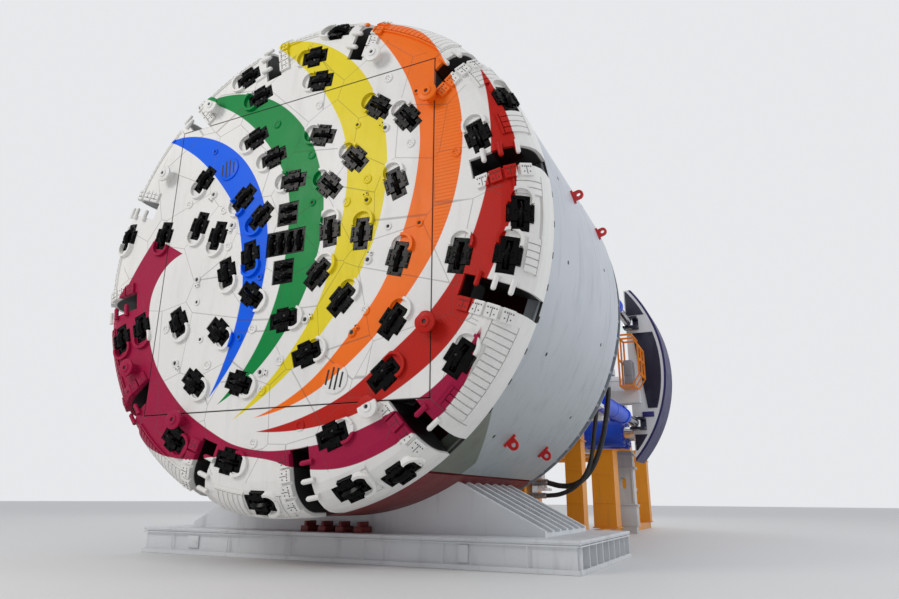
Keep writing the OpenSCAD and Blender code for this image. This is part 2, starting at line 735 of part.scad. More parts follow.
module deck(y0, y1) {
    inner = beam_half + way_out + 60;
    for (s = [-1, 1]) {
        translate([s > 0 ? inner : -inner - deck_w, y0, deck_z - deck_t]) cube([deck_w, y1 - y0, deck_t]);
        for (y = [y0 + 200, y1 - 300])
            translate([s > 0 ? beam_half + fit : -beam_half - fit - deck_w - 200, y, deck_z - deck_t - 160])
                cube([deck_w + 200, 120, 160 + 1]);
    }
}
module decks() color("slategray") from_face() {
    deck(deck_front, deck_front + deck_front_l);
    deck(deck_rear, deck_rear + deck_rear_l);
}
module rail_run(y0, y1, s) {
    x = s * (beam_half + way_out + 60 + deck_w - 60);
    n = 3;
    for (i = [0 : n]) translate([x, y0 + 40 + i * (y1 - y0 - 80) / n, deck_z + fit]) cylinder(d = rail_d - 8, h = rail_h, $fn = 20);
    for (h = [rail_h, rail_h * 0.5]) translate([x, y0 + 40, deck_z + h]) rotate([-90, 0, 0])
        cylinder(d = rail_d, h = y1 - y0 - 80, $fn = 20);
}
module handrails() color([0.95, 0.6, 0.1]) from_face() for (s = [-1, 1]) {
    rail_run(deck_front, deck_front + deck_front_l, s);
    rail_run(deck_rear, deck_rear + deck_rear_l, s);
}

module rear_support() {
    color("whitesmoke") from_face() for (s = [-1, 1]) difference() {
        union() {
            translate([s * leg_x - leg_w / 2 - 90, leg_y - leg_w / 2 - 90, axis_h - 1100]) cube([leg_w + 180, leg_w + 180, 1700]);
            translate([s > 0 ? beam_half + fit : -leg_x, leg_y - 250, axis_h - 800]) cube([leg_x - beam_half - fit, 500, 1100]);
        }
        post(s * leg_x, leg_y, axis_h - 1200, leg_w + 2 * slide_gap, leg_w + 2 * slide_gap, 2000);
    }
}
module rear_leg(s) {
    top_z = axis_h + 700;
    color("silver") from_face() {
        post(s * leg_x, leg_y, leg_foot_z + 100, leg_w, leg_w, top_z - leg_foot_z - 100);
        post(s * leg_x, leg_y, leg_foot_z, 900, 900, 101);
    }
}
module rear_leg_left() rear_leg(-1);
module rear_leg_right() rear_leg(1);
module drawbar() {
    tow_x = beam_half - 60;
    color("red") from_face() for (s = [-1, 1]) difference() {
        translate([s * tow_x - 60, beam_end + fit, beam_bottom + 100]) cube([120, 420, 360]);
        translate([s * tow_x - 100, beam_end + 250, beam_bottom + 280]) rotate([0, 90, 0]) cylinder(d = 140, h = 200);
    }
}

carrier_front = gripper_y - carrier_l / 2;
cheek_t = 360;
cheek_in = beam_half + way_out + slide_gap;
arm_z = axis_h - 1200;
arm_h = 400;
cage_x = 3150;
module each_gripper() for (k = [-1, 1]) translate([0, gripper_y + k * grip_pitch / 2, grip_z]) children();
module gripper_carrier() {
    low = grip_z - grip_d / 2 - 120;
    color("whitesmoke") from_face() difference() {
        union() {
            for (s = [0, 1]) mirror([s, 0, 0]) {
                translate([cheek_in, carrier_front, low]) cube([cheek_t, carrier_l, axis_h + 950 - low]);
                // arm that carries the cage
                translate([cheek_in, carrier_front - 400, arm_z]) cube([3600 - cheek_in, 401, arm_h]);
            }
            translate([-cheek_in - 10, carrier_front, low]) cube([2 * cheek_in + 20, carrier_l, beam_bottom - 30 - low]);
        }
        each_gripper() rotate([0, 90, 0]) cylinder(d = grip_d + 2 * fit, h = 4000, center = true, $fn = 64);
    }
    color("whitesmoke") from_face() for (s = [0, 1], z = [axis_h - 650, axis_h + 650], k = [-1, 1]) mirror([s, 0, 0])
        translate([beam_half + slide_gap, carrier_front, z + k * (way_h / 2 + 40 + slide_gap) - 40])
            cube([cheek_in + 10 - beam_half - slide_gap, carrier_l, 80]);
}
// The two blue cylinders that press the shoes against the rock
module gripper_cylinders() {
    flange_l = 140;
    stub_x = 2640;
    color([0.1, 0.3, 0.75]) from_face() each_gripper() {
        difference() {
            union() {
                rotate([0, 90, 0]) cylinder(d = grip_d, h = 2 * grip_reach, center = true, $fn = 64);
                for (s = [0, 1]) mirror([s, 0, 0]) translate([grip_reach - flange_l, 0, 0]) rotate([0, 90, 0])
                    cylinder(d = flange_d, h = flange_l, $fn = 64);
            }
            for (s = [0, 1]) mirror([s, 0, 0]) translate([1250, 0, 0]) rotate([0, 90, 0])
                cylinder(d = grip_rod_d + 2 * slide_gap, h = grip_reach, $fn = 64);
        }
        for (s = [-1, 1]) translate([s * stub_x, 0, grip_d / 2 - 30]) {
            cylinder(d = 340, h = 480, $fn = 40);
            cylinder(d = 420, h = 130, $fn = 40);
        }
    }
}
// Outline of a cage frame seen from in front
module cage_outline(inset) {
    low = inset;
    high = 1650 - inset;
    right = 650 - inset;
    polygon([[inset, low], [400, low], [right, 360], [right, 1280], [430, high], [inset, high]]);
}
module carrier_cages() {
    tube = 50;
    cage_l = 1100;
    cage_back = carrier_front - 100;
    corners = [[0, 0], [400, 0], [600, 360], [600, 820], [600, 1230], [430, 1600], [0, 1600], [0, 820]];
    color([0.95, 0.6, 0.1]) from_face() for (s = [0, 1]) mirror([s, 0, 0])
        translate([cage_x, cage_back - cage_l, arm_z + arm_h + fit]) {
            for (y = [0, (cage_l - tube) / 2, cage_l - tube]) translate([0, y + tube, 0]) rotate([90, 0, 0])
                linear_extrude(tube) difference() {
                    cage_outline(0);
                    cage_outline(tube);
                }
            for (p = corners) translate([p[0], 0, p[1]]) cube([tube, cage_l, tube]);
            cube([420, cage_l, 20]);
        }
}
// Outline of a shoe: a segment of the tunnel's circle, cut off straight on its inner side and on top
module shoe_outline(r) intersection() {
    circle(r = r, $fn = round_fn);
    translate([chord_x, -shoe_r]) square([shoe_r, shoe_r + shoe_up]);
}
module shoe() {
    plate_in = eye_h / 2 + run_gap;
    color("white") {
        axis_frame() translate([0, 0, -gripper_y - shoe_l / 2]) linear_extrude(shoe_l) shoe_outline(shoe_r - skin_t - fit);
        from_face() for (z = propel_zs, k = [0, 1]) translate([propel_x - 170, propel_eye_y - 170, z]) mirror([0, 0, k])
            translate([0, 0, plate_in]) cube([460, shoe_front - propel_eye_y + 170 - fit, 70]);
    }
}
module shoe_skin() {
    color([0.15, 0.12, 0.4]) axis_frame() translate([0, 0, -gripper_y - shoe_l / 2]) linear_extrude(shoe_l)
        difference() {
            shoe_outline(shoe_r);
            circle(r = shoe_r - skin_t, $fn = round_fn);
        }
}
module grip_rods() color("silver") from_face() each_gripper() {
    rod_start = 1600;
    translate([rod_start, 0, 0]) rotate([0, 90, 0]) cylinder(d = grip_rod_d, h = chord_x - rod_start - fit, $fn = 64);
}
module shoe_right() shoe();
module shoe_left() left_side() shoe();
module shoe_skin_right() shoe_skin();
module shoe_skin_left() left_side() shoe_skin();
module grip_rods_right() grip_rods();
module grip_rods_left() left_side() grip_rods();

module propel_barrels() {
    color([0.1, 0.3, 0.75]) from_face() for (z = propel_zs) translate([propel_x, propel_pin_y, z]) difference() {
        union() {
            cylinder(d = 360, h = eye_h, center = true, $fn = 48);
            translate([-110, 0, -eye_h / 2]) cube([220, 300, eye_h]);
            translate([0, 280, 0]) rotate([-90, 0, 0]) cylinder(d = propel_d, h = propel_l, $fn = 48);
        }
        cylinder(d = pin_d + 2 * slide_gap, h = 300, center = true, $fn = 48);
        translate([0, 420, 0]) rotate([-90, 0, 0]) cylinder(d = propel_rod_d + 2 * slide_gap, h = propel_l, $fn = 48);
    }
}
module propel_rods() {
    rod_l = 3400;
    color("silver") from_face() for (z = propel_zs) translate([propel_x, propel_eye_y, z]) {
        cylinder(d = 300, h = eye_h, center = true, $fn = 48);
        translate([0, -rod_l, 0]) rotate([-90, 0, 0]) cylinder(d = propel_rod_d, h = rod_l - 260, $fn = 48);
        translate([-100, -261, -100]) cube([200, 200, 200]);
    }
}
module propel_barrels_right() propel_barrels();
module propel_barrels_left() left_side() propel_barrels();
module propel_rods_right() propel_rods();
module propel_rods_left() left_side() propel_rods();

module plinth() {
    half_l = plinth_l / 2;
    color("white") difference() {
        union() {
            translate([-plinth_w / 2, -half_l, plinth_h - plinth_t]) cube([plinth_w, plinth_l, plinth_t]);
            translate([-plinth_w / 2, -half_l, 0]) cube([plinth_w, plinth_l, 50]);
            for (y = [-half_l + 60, half_l - 120]) translate([-plinth_w / 2 + 60, y, 0]) cube([plinth_w - 120, 60, plinth_h - 10]);
            for (x = [-plinth_w / 2 + 120, -plinth_w / 6, plinth_w / 6 - 60, plinth_w / 2 - 180])
                translate([x, -half_l + 60, 0]) cube([60, plinth_l - 120, plinth_h - 10]);
            for (i = [0 : plinth_ribs - 1], s = [-1, 1])
                translate([s * (plinth_w / 2 - 90) - 90, -half_l + 100 + i * (plinth_l - 230) / (plinth_ribs - 1), 0])
                    cube([180, 30, plinth_h - 10]);
        }
        for (sx = [-1, 1], sy = [-1, 1]) translate([sx * 3900, sy * 1500, -1]) cylinder(d = 80, h = 60, $fn = 32);
    }
}
module cradle() {
    low = plinth_h + fit;
    foot = low + 90;
    arc_x = shield_r * sin(cradle_a);
    arc_z = axis_h - shield_r * cos(cradle_a);
    pitch = (cradle_l - saddle_t) / (saddle_n - 1);
    color("white") from_face() {
        translate([-cradle_half, plinth_back - cradle_l / 2, low]) cube([2 * cradle_half, cradle_l, 60]);
        translate([0, plinth_back - cradle_l / 2 + saddle_t, 0]) difference() {
            for (i = [0 : saddle_n - 1]) translate([0, i * pitch, 0]) rotate([90, 0, 0]) linear_extrude(saddle_t)
                polygon([[-cradle_half, low], [cradle_half, low], [cradle_half, foot], [arc_x, arc_z],
                    [-arc_x, arc_z], [-cradle_half, foot]]);
            translate([0, cradle_l, axis_h]) rotate([90, 0, 0]) cylinder(r = shield_r + fit, h = 2 * cradle_l, $fn = round_fn);
        }
    }
}
// Distance from the centre plane, depth from the face and side of each stand's columns
stand_table = [[1560, 7000, 620], [2300, 9700, 450], [2300, 16900, 460], [2300, 20250, 460]];
module stands() {
    skid_x = 2300;
    skid_back = 20600;
    short_w = 700;
    color([0.9, 0.5, 0.1]) from_face() {
        for (s = [0, 1]) mirror([s, 0, 0]) {
            translate([skid_x - skid_w / 2, 6600, 0]) cube([skid_w, skid_back - 6600, skid_h]);
            // short column under the gripper cylinders
            post(skid_x, gripper_y - 1050, skid_h + fit, short_w, short_w, bridge_z - skid_h - fit - 20);
        }
        for (p = stand_table) {
            front_row = p[0] + p[2] / 2 < skid_x - skid_w / 2;
            foot_z = front_row ? 0 : skid_h + fit;
            top_z = front_row ? beam_bottom - 600 : bridge_z;
            bridge = front_row ? 600 - fit : bridge_h;
            for (s = [-1, 1]) post(s * p[0], p[1], foot_z, p[2], p[2], top_z - foot_z);
            post(0, p[1], top_z + fit, 2 * p[0] + p[2], p[2], bridge - fit);
            if (!front_row) post(0, p[1], top_z + bridge + fit, beam_w + 200, p[2], beam_bottom - top_z - bridge - 2 * fit);
        }
    }
}
module carrier_stands() {
    x = 2560;
    y = gripper_y + 650;
    w = 690;
    hole = 200;
    top = grip_z - flange_d / 2 - 60;
    skid_out = 2300 + skid_w / 2 + fit;
    color("lightgray") from_face() for (s = [0, 1]) mirror([s, 0, 0]) difference() {
        union() {
            post(x, y, skid_h + fit, w, 400, top - skid_h - fit);
            translate([skid_out, y - 200, 0]) cube([x + w / 2 - skid_out, 400, skid_h + 1]);
            post(x, y, top - 160, w + 120, 460, 60);
        }
        for (z = [0, 180]) translate([x, y, 1500 + z]) rotate([90, 0, 0]) cylinder(d = hole, h = 600, center = true, $fn = 32);
        post(x, y, 1500, hole, 600, 180);
    }
}

// Middle lines of the hoses across the machine: X and Z in millimetres, from the lower end up
hose_route = [[2130, 1430], [2250, 1428], [2400, 1391], [2581, 1351], [2810, 1349], [3026, 1420], [3209, 1558], [3351, 1737],
    [3462, 1937], [3551, 2149], [3623, 2366], [3683, 2588], [3734, 2811], [3776, 3037], [3810, 3263], [3832, 3470],
    [3840, 3600], [3840, 3720]];
hose_small_route = [[2130, 1130], [2240, 1130], [2390, 1134], [2586, 1155], [2804, 1226], [3001, 1342], [3165, 1500], [3288, 1693],
    [3369, 1907], [3420, 2130], [3457, 2356], [3492, 2583], [3530, 2809], [3564, 3035], [3588, 3263], [3601, 3492],
    [3605, 3620], [3605, 3720]];
hose_y = 7150;
hose_small_y = 7000;
// A point on the smooth curve through the route's points
function curve(p, i, t) = let (a = p[max(i - 1, 0)], b = p[i], c = p[i + 1], d = p[min(i + 2, len(p) - 1)])
    0.5 * (2 * b + t * (c - a) + t * t * (2 * a - 5 * b + 4 * c - d) + t * t * t * (3 * b - a - 3 * c + d));
function line_of(p) = concat([for (i = [0 : len(p) - 2], t = [0, 0.5]) curve(p, i, t)], [p[len(p) - 1]]);
// A round tube along a line in the plane across the machine, cut off square at its level and upright ends
module tube(line, y, d) {
    sides = 12;
    last = len(line) - 1;
    points = [for (i = [0 : last], j = [0 : sides - 1])
        let (g = i == 0 ? [1, 0] : i == last ? [0, 1] : line[i + 1] - line[i - 1], u = g / norm(g), a = 360 * j / sides)
            [line[i][0] - u[1] * cos(a) * d / 2, y + sin(a) * d / 2, line[i][1] + u[0] * cos(a) * d / 2]];
    sides_faces = [for (i = [0 : last - 1], j = [0 : sides - 1]) let (k = (j + 1) % sides)
        [i * sides + j, i * sides + k, (i + 1) * sides + k, (i + 1) * sides + j]];
    ends = [[for (j = [sides - 1 : -1 : 0]) j], [for (j = [0 : sides - 1]) last * sides + j]];
    polyhedron(points = points, faces = concat(sides_faces, ends));
}
module hose_large() color([0.04, 0.04, 0.04]) from_face() tube(line_of(hose_route), hose_y, hose_d);
module hose_small() color([0.04, 0.04, 0.04]) from_face() tube(line_of(hose_small_route), hose_small_y, hose_small_d);
// The block low on the front stand and the bracket on the yoke that hold the hoses' ends
module hose_fittings() {
    block_x = stand_table[0][0] + stand_table[0][2] / 2 + fit;
    bracket_z = 3860;
    low = hose_route[0];
    low_small = hose_small_route[0];
    color("silver") from_face() {
        translate([block_x, hose_small_y - 130, 1000]) cube([130, 400, 560]);
        translate([block_x + 129, hose_y, low[1]]) rotate([0, 90, 0]) cylinder(d = hose_d + 50, h = low[0] - block_x - 129 - fit);
        translate([block_x + 129, hose_small_y, low_small[1]]) rotate([0, 90, 0])
            cylinder(d = hose_small_d + 40, h = low_small[0] - block_x - 129 - fit);
        translate([2600, hose_small_y - 100, bracket_z]) cube([1360, propel_pin_y - 250 - fit - hose_small_y + 100, 160]);
        translate([3840, hose_y, 3720 + fit]) cylinder(d = hose_d + 50, h = bracket_z - 3719);
        translate([3605, hose_small_y, 3720 + fit]) cylinder(d = hose_small_d + 40, h = bracket_z - 3719);
    }
}

plinth();
cradle();
stands();
carrier_stands();
shield_roof();
shield_left();
shield_right();
shield_bottom();
shield_lugs();
bulkhead();
main_bearing();
drive_motors();
main_beam();
thrust_yoke();
conveyor_frame();
conveyor_belt();
erector_track();
drill_arch();
decks();
handrails();
rear_support();
drawbar();
hose_large();
hose_small();
hose_fittings();
head_body();
head_face();
head_rim();
centre_cutters();
face_cutters();
rim_cutters();
bucket_pegs();
head_lugs();
ring_erector();
drill_left();
drill_right();
gripper_carrier();
gripper_cylinders();
carrier_cages();
shoe_left();
shoe_right();
shoe_skin_left();
shoe_skin_right();
grip_rods_left();
grip_rods_right();
propel_barrels_left();
propel_barrels_right();
propel_rods_left();
propel_rods_right();
rear_leg_left();
rear_leg_right();
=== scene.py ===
# %% [markdown]
# # A tunnel boring machine
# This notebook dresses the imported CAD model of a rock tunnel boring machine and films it
# from where the photograph was taken. The CAD model is the frame: its parts keep their
# place, and everything made here rides on one of its bodies.

# %% Load the frame
import bpy, bmesh, math, random
from mathutils import Matrix, Vector


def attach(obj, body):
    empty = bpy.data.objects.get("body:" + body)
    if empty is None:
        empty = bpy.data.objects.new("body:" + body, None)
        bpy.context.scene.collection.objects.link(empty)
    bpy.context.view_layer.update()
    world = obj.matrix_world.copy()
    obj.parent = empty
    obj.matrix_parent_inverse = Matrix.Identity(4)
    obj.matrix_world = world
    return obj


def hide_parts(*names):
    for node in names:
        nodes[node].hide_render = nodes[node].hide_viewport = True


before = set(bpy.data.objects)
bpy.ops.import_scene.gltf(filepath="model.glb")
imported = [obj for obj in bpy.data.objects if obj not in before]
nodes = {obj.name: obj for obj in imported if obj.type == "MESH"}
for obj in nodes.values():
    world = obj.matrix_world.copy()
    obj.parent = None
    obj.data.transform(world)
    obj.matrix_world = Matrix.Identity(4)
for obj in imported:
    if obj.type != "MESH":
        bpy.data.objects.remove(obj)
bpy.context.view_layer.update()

# %% [markdown]
# ## Measures
# Lengths are in metres. The origin is on the floor in the middle of the plinth, X runs to
# the right of somebody who looks at the cutting face, and Y runs towards the rear. The CAD
# model fixes these measures, so they are written once and everything else is worked out.

# %% Measures
AXIS_Z = 5.2
FACE_Y = -3.6
RIM_R = 4.48
SHIELD_R = 4.46


def placed(name, data):
    """A new object that holds the data, in the scene"""
    made = bpy.data.objects.new(name, data)
    bpy.context.scene.collection.objects.link(made)
    return made


print("head radius", RIM_R, "m, shield radius", SHIELD_R, "m")

# %% [markdown]
# ## Camera
# The camera stands low and to the right of the head, and looks up at it. It could be aimed
# with a Track To constraint, but that would level it, and the photograph leans a little. So
# its place and three angles, found by fitting circles and corners of the real machine to the
# photograph, are turned into one matrix.

# %% Camera
# The photograph's width and the fitted focal length, both in pixels
PHOTO_WIDTH, FOCAL_LENGTH = 899.0, 651.054
SENSOR_MM = 36.0
EYE = (6.959, -11.73, 1.028)
YAW, PITCH, ROLL = math.radians(25.369), math.radians(17.078), math.radians(0.413)
cam_data = bpy.data.cameras.new("camera")
cam_data.sensor_width = SENSOR_MM
cam_data.lens = FOCAL_LENGTH * SENSOR_MM / PHOTO_WIDTH
cam_data.clip_start, cam_data.clip_end = 0.05, 400.0
camera = placed("camera", cam_data)
forward = Vector((-math.sin(YAW) * math.cos(PITCH), math.cos(YAW) * math.cos(PITCH), math.sin(PITCH)))
right = Vector((math.cos(YAW), math.sin(YAW), 0.0))
up = right.cross(forward)
rolled_right = right * math.cos(ROLL) + up * math.sin(ROLL)
rolled_up = up * math.cos(ROLL) - right * math.sin(ROLL)
turn = Matrix((rolled_right, rolled_up, -forward)).transposed()
camera.matrix_world = Matrix.Translation(EYE) @ turn.to_4x4()
bpy.context.scene.camera = camera
print("camera at", [round(v, 2) for v in camera.location])

# %% [markdown]
# ## Light, floor and background
# Three large soft lamps and a pale world light the machine evenly. A sky texture would tint
# the paints, and plain lamps keep them true. The camera sees a second, paler background,
# which the Light Path node picks for it and for mirrors and glass. The floor keeps the
# machine's shadow.

# %% Light and floor
bpy.context.scene.view_settings.view_transform = "Standard"
world = bpy.data.worlds.new("world")
bpy.context.scene.world = world
world.use_nodes = True
wt = world.node_tree
wt.nodes.clear()
path = wt.nodes.new("ShaderNodeLightPath")
seen = wt.nodes.new("ShaderNodeMath")
seen.operation = "MAXIMUM"
wt.links.new(path.outputs["Is Camera Ray"], seen.inputs[0])
wt.links.new(path.outputs["Is Glossy Ray"], seen.inputs[1])
seen2 = wt.nodes.new("ShaderNodeMath")
seen2.operation = "MAXIMUM"
wt.links.new(seen.outputs[0], seen2.inputs[0])
wt.links.new(path.outputs["Is Transmission Ray"], seen2.inputs[1])
back_light = wt.nodes.new("ShaderNodeBackground")
back_light.inputs["Color"].default_value = (0.93, 0.95, 1.0, 1)
back_light.inputs["Strength"].default_value = 0.62
back_seen = wt.nodes.new("ShaderNodeBackground")
back_seen.inputs["Color"].default_value = (0.80, 0.81, 0.83, 1)
back_seen.inputs["Strength"].default_value = 1.0
mix = wt.nodes.new("ShaderNodeMixShader")
wt.links.new(seen2.outputs[0], mix.inputs[0])
wt.links.new(back_light.outputs[0], mix.inputs[1])
wt.links.new(back_seen.outputs[0], mix.inputs[2])
out = wt.nodes.new("ShaderNodeOutputWorld")
wt.links.new(mix.outputs[0], out.inputs["Surface"])


def lamp(name, place, target, size, power, colour):
    """A soft round lamp that looks at its target"""
    data = bpy.data.lights.new(name, "AREA")
    data.shape = "DISK"
    data.size = size
    data.energy = power
    data.color = colour
    ob = placed(name, data)
    ob.location = place
    ob.rotation_mode = "QUATERNION"
    ob.rotation_quaternion = (Vector(target) - Vector(place)).to_track_quat("-Z", "Y")


lamp("lamp_front", (-9.0, -20.0, 15.0), (0, 0, 5), 8.0, 1600, (1.0, 0.97, 0.93))
lamp("lamp_side", (22.0, 2.0, 16.0), (0, 6, 5), 9.0, 1350, (0.95, 0.97, 1.0))
lamp("lamp_rear", (-14.0, 30.0, 14.0), (0, 8, 4), 9.0, 1100, (1.0, 1.0, 1.0))

floor_mesh = bpy.data.meshes.new("floor")
corners = [(-150, -150, -0.002), (150, -150, -0.002), (150, 150, -0.002), (-150, 150, -0.002)]
floor_mesh.from_pydata(corners, [], [(0, 1, 2, 3)])
floor = placed("floor", floor_mesh)
floor_mat = bpy.data.materials.new("floor")
floor_mat.use_nodes = True
bsdf = floor_mat.node_tree.nodes["Principled BSDF"]
bsdf.inputs["Base Color"].default_value = (0.72, 0.72, 0.71, 1)
bsdf.inputs["Roughness"].default_value = 0.6
floor_mesh.materials.append(floor_mat)
print("floor, three lamps and the world are in place")

# %% [markdown]
# ## Tools for shapes
# A real machine has hundreds of bolts, ribs and rings. They could be an object each, but one
# mesh for each kind of detail keeps the scene light. A `Solids` object collects closed solids
# made by bmesh operators. Each is made round its own origin and set in place by a matrix, so
# the same call serves the face, the rim and the sides.

# %% Tools for shapes
class Solids:
    def __init__(self):
        self.bm = bmesh.new()

    def box(self, place, size, bevel=0.0, segments=2):
        made = bmesh.ops.create_cube(self.bm, size=1.0, matrix=place @ Matrix.Diagonal((*size, 1.0)))
        if bevel:
            self.rounded({e for v in made["verts"] for e in v.link_edges}, bevel, segments)

    def rounded(self, edges, width, segments=2):
        bmesh.ops.bevel(self.bm, geom=list(edges), offset=width, segments=segments, profile=0.5,
            affect="EDGES", material=-1)

    def rod(self, place, radius, length, sides=24, top=None, bevel=0.0):
        middle = place @ Matrix.Translation((0, 0, length / 2))
        made = bmesh.ops.create_cone(self.bm, cap_ends=True, segments=sides, radius1=radius,
            radius2=radius if top is None else top, depth=length, matrix=middle)
        if bevel:
            high = [e for e in {e for v in made["verts"] for e in v.link_edges} if len(e.link_faces) == 2
                and max(len(f.verts) for f in e.link_faces) > 4]
            self.rounded(high, bevel)

    def plate(self, place, outline, thick, bevel=0.0):
        """A flat plate: its outline lies in local X and Y, and its thickness runs along local Z"""
        low, high = [[self.bm.verts.new(place @ Vector((x, y, h))) for x, y in outline]
            for h in (0.0, thick)]
        self.bm.faces.new(low)
        top = self.bm.faces.new(high)
        for k in range(len(outline)):
            n = (k + 1) % len(outline)
            self.bm.faces.new((low[k], low[n], high[n], high[k]))
        if bevel:
            self.rounded(top.edges[:], bevel)

    def bolt(self, place, radius=0.02, height=0.014):
        self.rod(place, radius * 1.5, height * 0.3, 12)
        self.rod(place, radius, height, 6, radius * 0.93)

    def turned(self, place, profile, turn=360.0, steps=32, start=0.0):
        """A profile of (radius, height) pairs turned about the local Z axis"""
        spin = math.radians(start)
        spots = [place @ Vector((r * math.cos(spin), r * math.sin(spin), h)) for r, h in profile]
        verts = [self.bm.verts.new(spot) for spot in spots]
        if turn < 360:
            face = self.bm.faces.new(verts)
            edges = face.edges[:]
        else:
            face = None
            edges = [self.bm.edges.new(pair) for pair in zip(verts, verts[1:] + verts[:1])]
        axis = (place.to_3x3() @ Vector((0, 0, 1))).normalized()
        flip = 1.0 if place.determinant() > 0 else -1.0
        geom = edges + verts + ([face] if face else [])
        done = bmesh.ops.spin(self.bm, geom=geom, cent=place.translation, axis=axis * flip,
            angle=math.radians(turn), steps=steps, use_merge=turn >= 360, use_normal_flip=False,
            use_duplicate=False)
        if face:
            loop = [v for v in done["geom_last"] if isinstance(v, bmesh.types.BMVert)]
            if not any(isinstance(g, bmesh.types.BMFace) for g in done["geom_last"]):
                self.bm.faces.new(loop)

    def piece(self, name, body, materials, slot):
        bmesh.ops.recalc_face_normals(self.bm, faces=self.bm.faces)
        mesh = bpy.data.meshes.new(name)
        self.bm.to_mesh(mesh)
        self.bm.free()
        mesh.shade_smooth()
        mesh.set_sharp_from_angle(angle=math.radians(32))
        for m in materials if isinstance(materials, list) else [materials]:
            mesh.materials.append(m)
        ob = placed(name, mesh)
        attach(ob, body)
        tris = sum(len(p.vertices) - 2 for p in mesh.polygons)
        print(name, tris, "triangles")
        return ob


print("the class Solids makes boxes, rods, plates, bolts and turned shapes")

# %% [markdown]
# ## Places and directions
# A detail needs a place and a turn together. Angles about three axes are easy to mix up, so a
# place here is a matrix whose columns are three directions and a point. One function gives
# places on the face and its round shoulder, and another gives places on the shield.

# %% Places and directions
def frame_of(x_axis, y_axis, z_axis, origin):
    """A place from its three directions and its origin"""
    return Matrix.Translation(origin) @ Matrix((x_axis, y_axis, z_axis)).transposed().to_4x4()


def at(x, y, z):
    """A place that is moved and not turned"""
    return Matrix.Translation((x, y, z))


def facing(x, y, z, direction):
    """Local Z looks along one of the main directions, such as '-y'"""
    turns = {"+z": ((1, 0, 0), (0, 1, 0), (0, 0, 1)), "-z": ((1, 0, 0), (0, -1, 0), (0, 0, -1)),
        "-y": ((1, 0, 0), (0, 0, 1), (0, -1, 0)), "+y": ((-1, 0, 0), (0, 0, 1), (0, 1, 0)),
        "+x": ((0, 1, 0), (0, 0, 1), (1, 0, 0)), "-x": ((0, -1, 0), (0, 0, 1), (-1, 0, 0))}
    return frame_of(*[Vector(v) for v in turns[direction]], (x, y, z))


SHOULDER_R = 0.55
SHOULDER_C = RIM_R - SHOULDER_R


def spokes(a):
    """The directions outwards and along the ring at an angle about the machine's axis"""
    return Vector((math.cos(a), 0, math.sin(a))), Vector((-math.sin(a), 0, math.cos(a)))


def on_face(radius, angle):
    """A place on the head's surface: X along the track, Y outwards, Z out of the metal"""
    lean = math.asin(min(1.0, (radius - SHOULDER_C) / SHOULDER_R)) if radius > SHOULDER_C else 0.0
    out, along = spokes(math.radians(angle))
    ahead = Vector((0, -1, 0))
    normal = out * math.sin(lean) + ahead * math.cos(lean)
    across = out * math.cos(lean) - ahead * math.sin(lean)
    centre = Vector((0, FACE_Y, AXIS_Z))
    origin = centre + out * radius + ahead * (SHOULDER_R * (math.cos(lean) - 1))
    return frame_of(along, across, normal, origin)


def on_drum(radius, angle, y, lift=0.0):
    """A place on a cylinder about the machine's axis: X along the ring, Y rearwards, Z outwards"""
    out, along = spokes(math.radians(angle))
    return frame_of(along, Vector((0, 1, 0)), out, Vector((0, y, AXIS_Z)) + out * (radius + lift))


def spun(degrees):
    """A turn about the local Z axis"""
    return Matrix.Rotation(math.radians(degrees), 4, "Z")


def collar(inner, outer, low, high):
    """The profile of a plain ring, for turned"""
    return [(inner, low), (outer, low), (outer, high), (inner, high)]


RIGHTWARDS, REARWARDS, DOWNWARDS = Vector((1, 0, 0)), Vector((0, 1, 0)), Vector((0, 0, -1))
AXIS = frame_of(RIGHTWARDS, -DOWNWARDS, -REARWARDS, (0, 0, AXIS_Z))
print("the middle of the face is at", [round(v, 2) for v in on_face(0.0, 0).translation])

# %% [markdown]
# ## Tools for materials
# Nodes could be placed by hand in the editor, and would be hard to read later. Here a `Wire`
# is one output of a shader node, and arithmetic on wires adds the maths nodes, so a mask
# reads like a formula. Lengths are metres on the object's own coordinates.

# %% Tools for materials
class Wire:
    tree = None

    def __init__(self, socket):
        self.socket = socket

    @staticmethod
    def node(kind, inputs, out=0, **settings):
        made = Wire.tree.nodes.new(kind)
        for key, value in settings.items():
            setattr(made, key, value)
        for key, value in inputs.items():
            if isinstance(value, Wire):
                Wire.tree.links.new(value.socket, made.inputs[key])
            else:
                made.inputs[key].default_value = value
        return Wire(made.outputs[out])

    def maths(self, kind, other=0.0):
        return Wire.node("ShaderNodeMath", {0: self, 1: other}, operation=kind)

    def __add__(self, other):
        return self.maths("ADD", other)

    def __mul__(self, other):
        return self.maths("MULTIPLY", other)

    def __sub__(self, other):
        return self.maths("SUBTRACT", other)

    def __rsub__(self, other):
        return Wire.node("ShaderNodeMath", {0: other, 1: self}, operation="SUBTRACT")

    def __truediv__(self, other):
        return self.maths("DIVIDE", other)

    __radd__ = __add__
    __rmul__ = __mul__

    def size(self):
        return self.maths("ABSOLUTE")

    def step(self, low, high):
        """0 below low, 1 above high, and a ramp between them"""
        limits = {"Value": self, "From Min": low, "From Max": high}
        return Wire.node("ShaderNodeMapRange", limits, clamp=True)

    def table(self, values, top):
        """Reads a smooth curve through equally spaced values, for an input from 0 to 1"""
        read = Wire.node("ShaderNodeFloatCurve", {"Value": self})
        mapping = read.socket.node.mapping
        line = mapping.curves[0]
        while len(line.points) < len(values):
            line.points.new(0.5, 0.5)
        for k, value in enumerate(values):
            line.points[k].location = (k / (len(values) - 1), value / top)
        mapping.update()
        return read * top


print("the class Wire turns arithmetic into shader nodes")

# %% [markdown]
# ## Helpers for materials
# These short functions name the nodes that the paints and metals share, such as noise,
# bump and mixing. A node group would hide them from a reader, and functions don't.

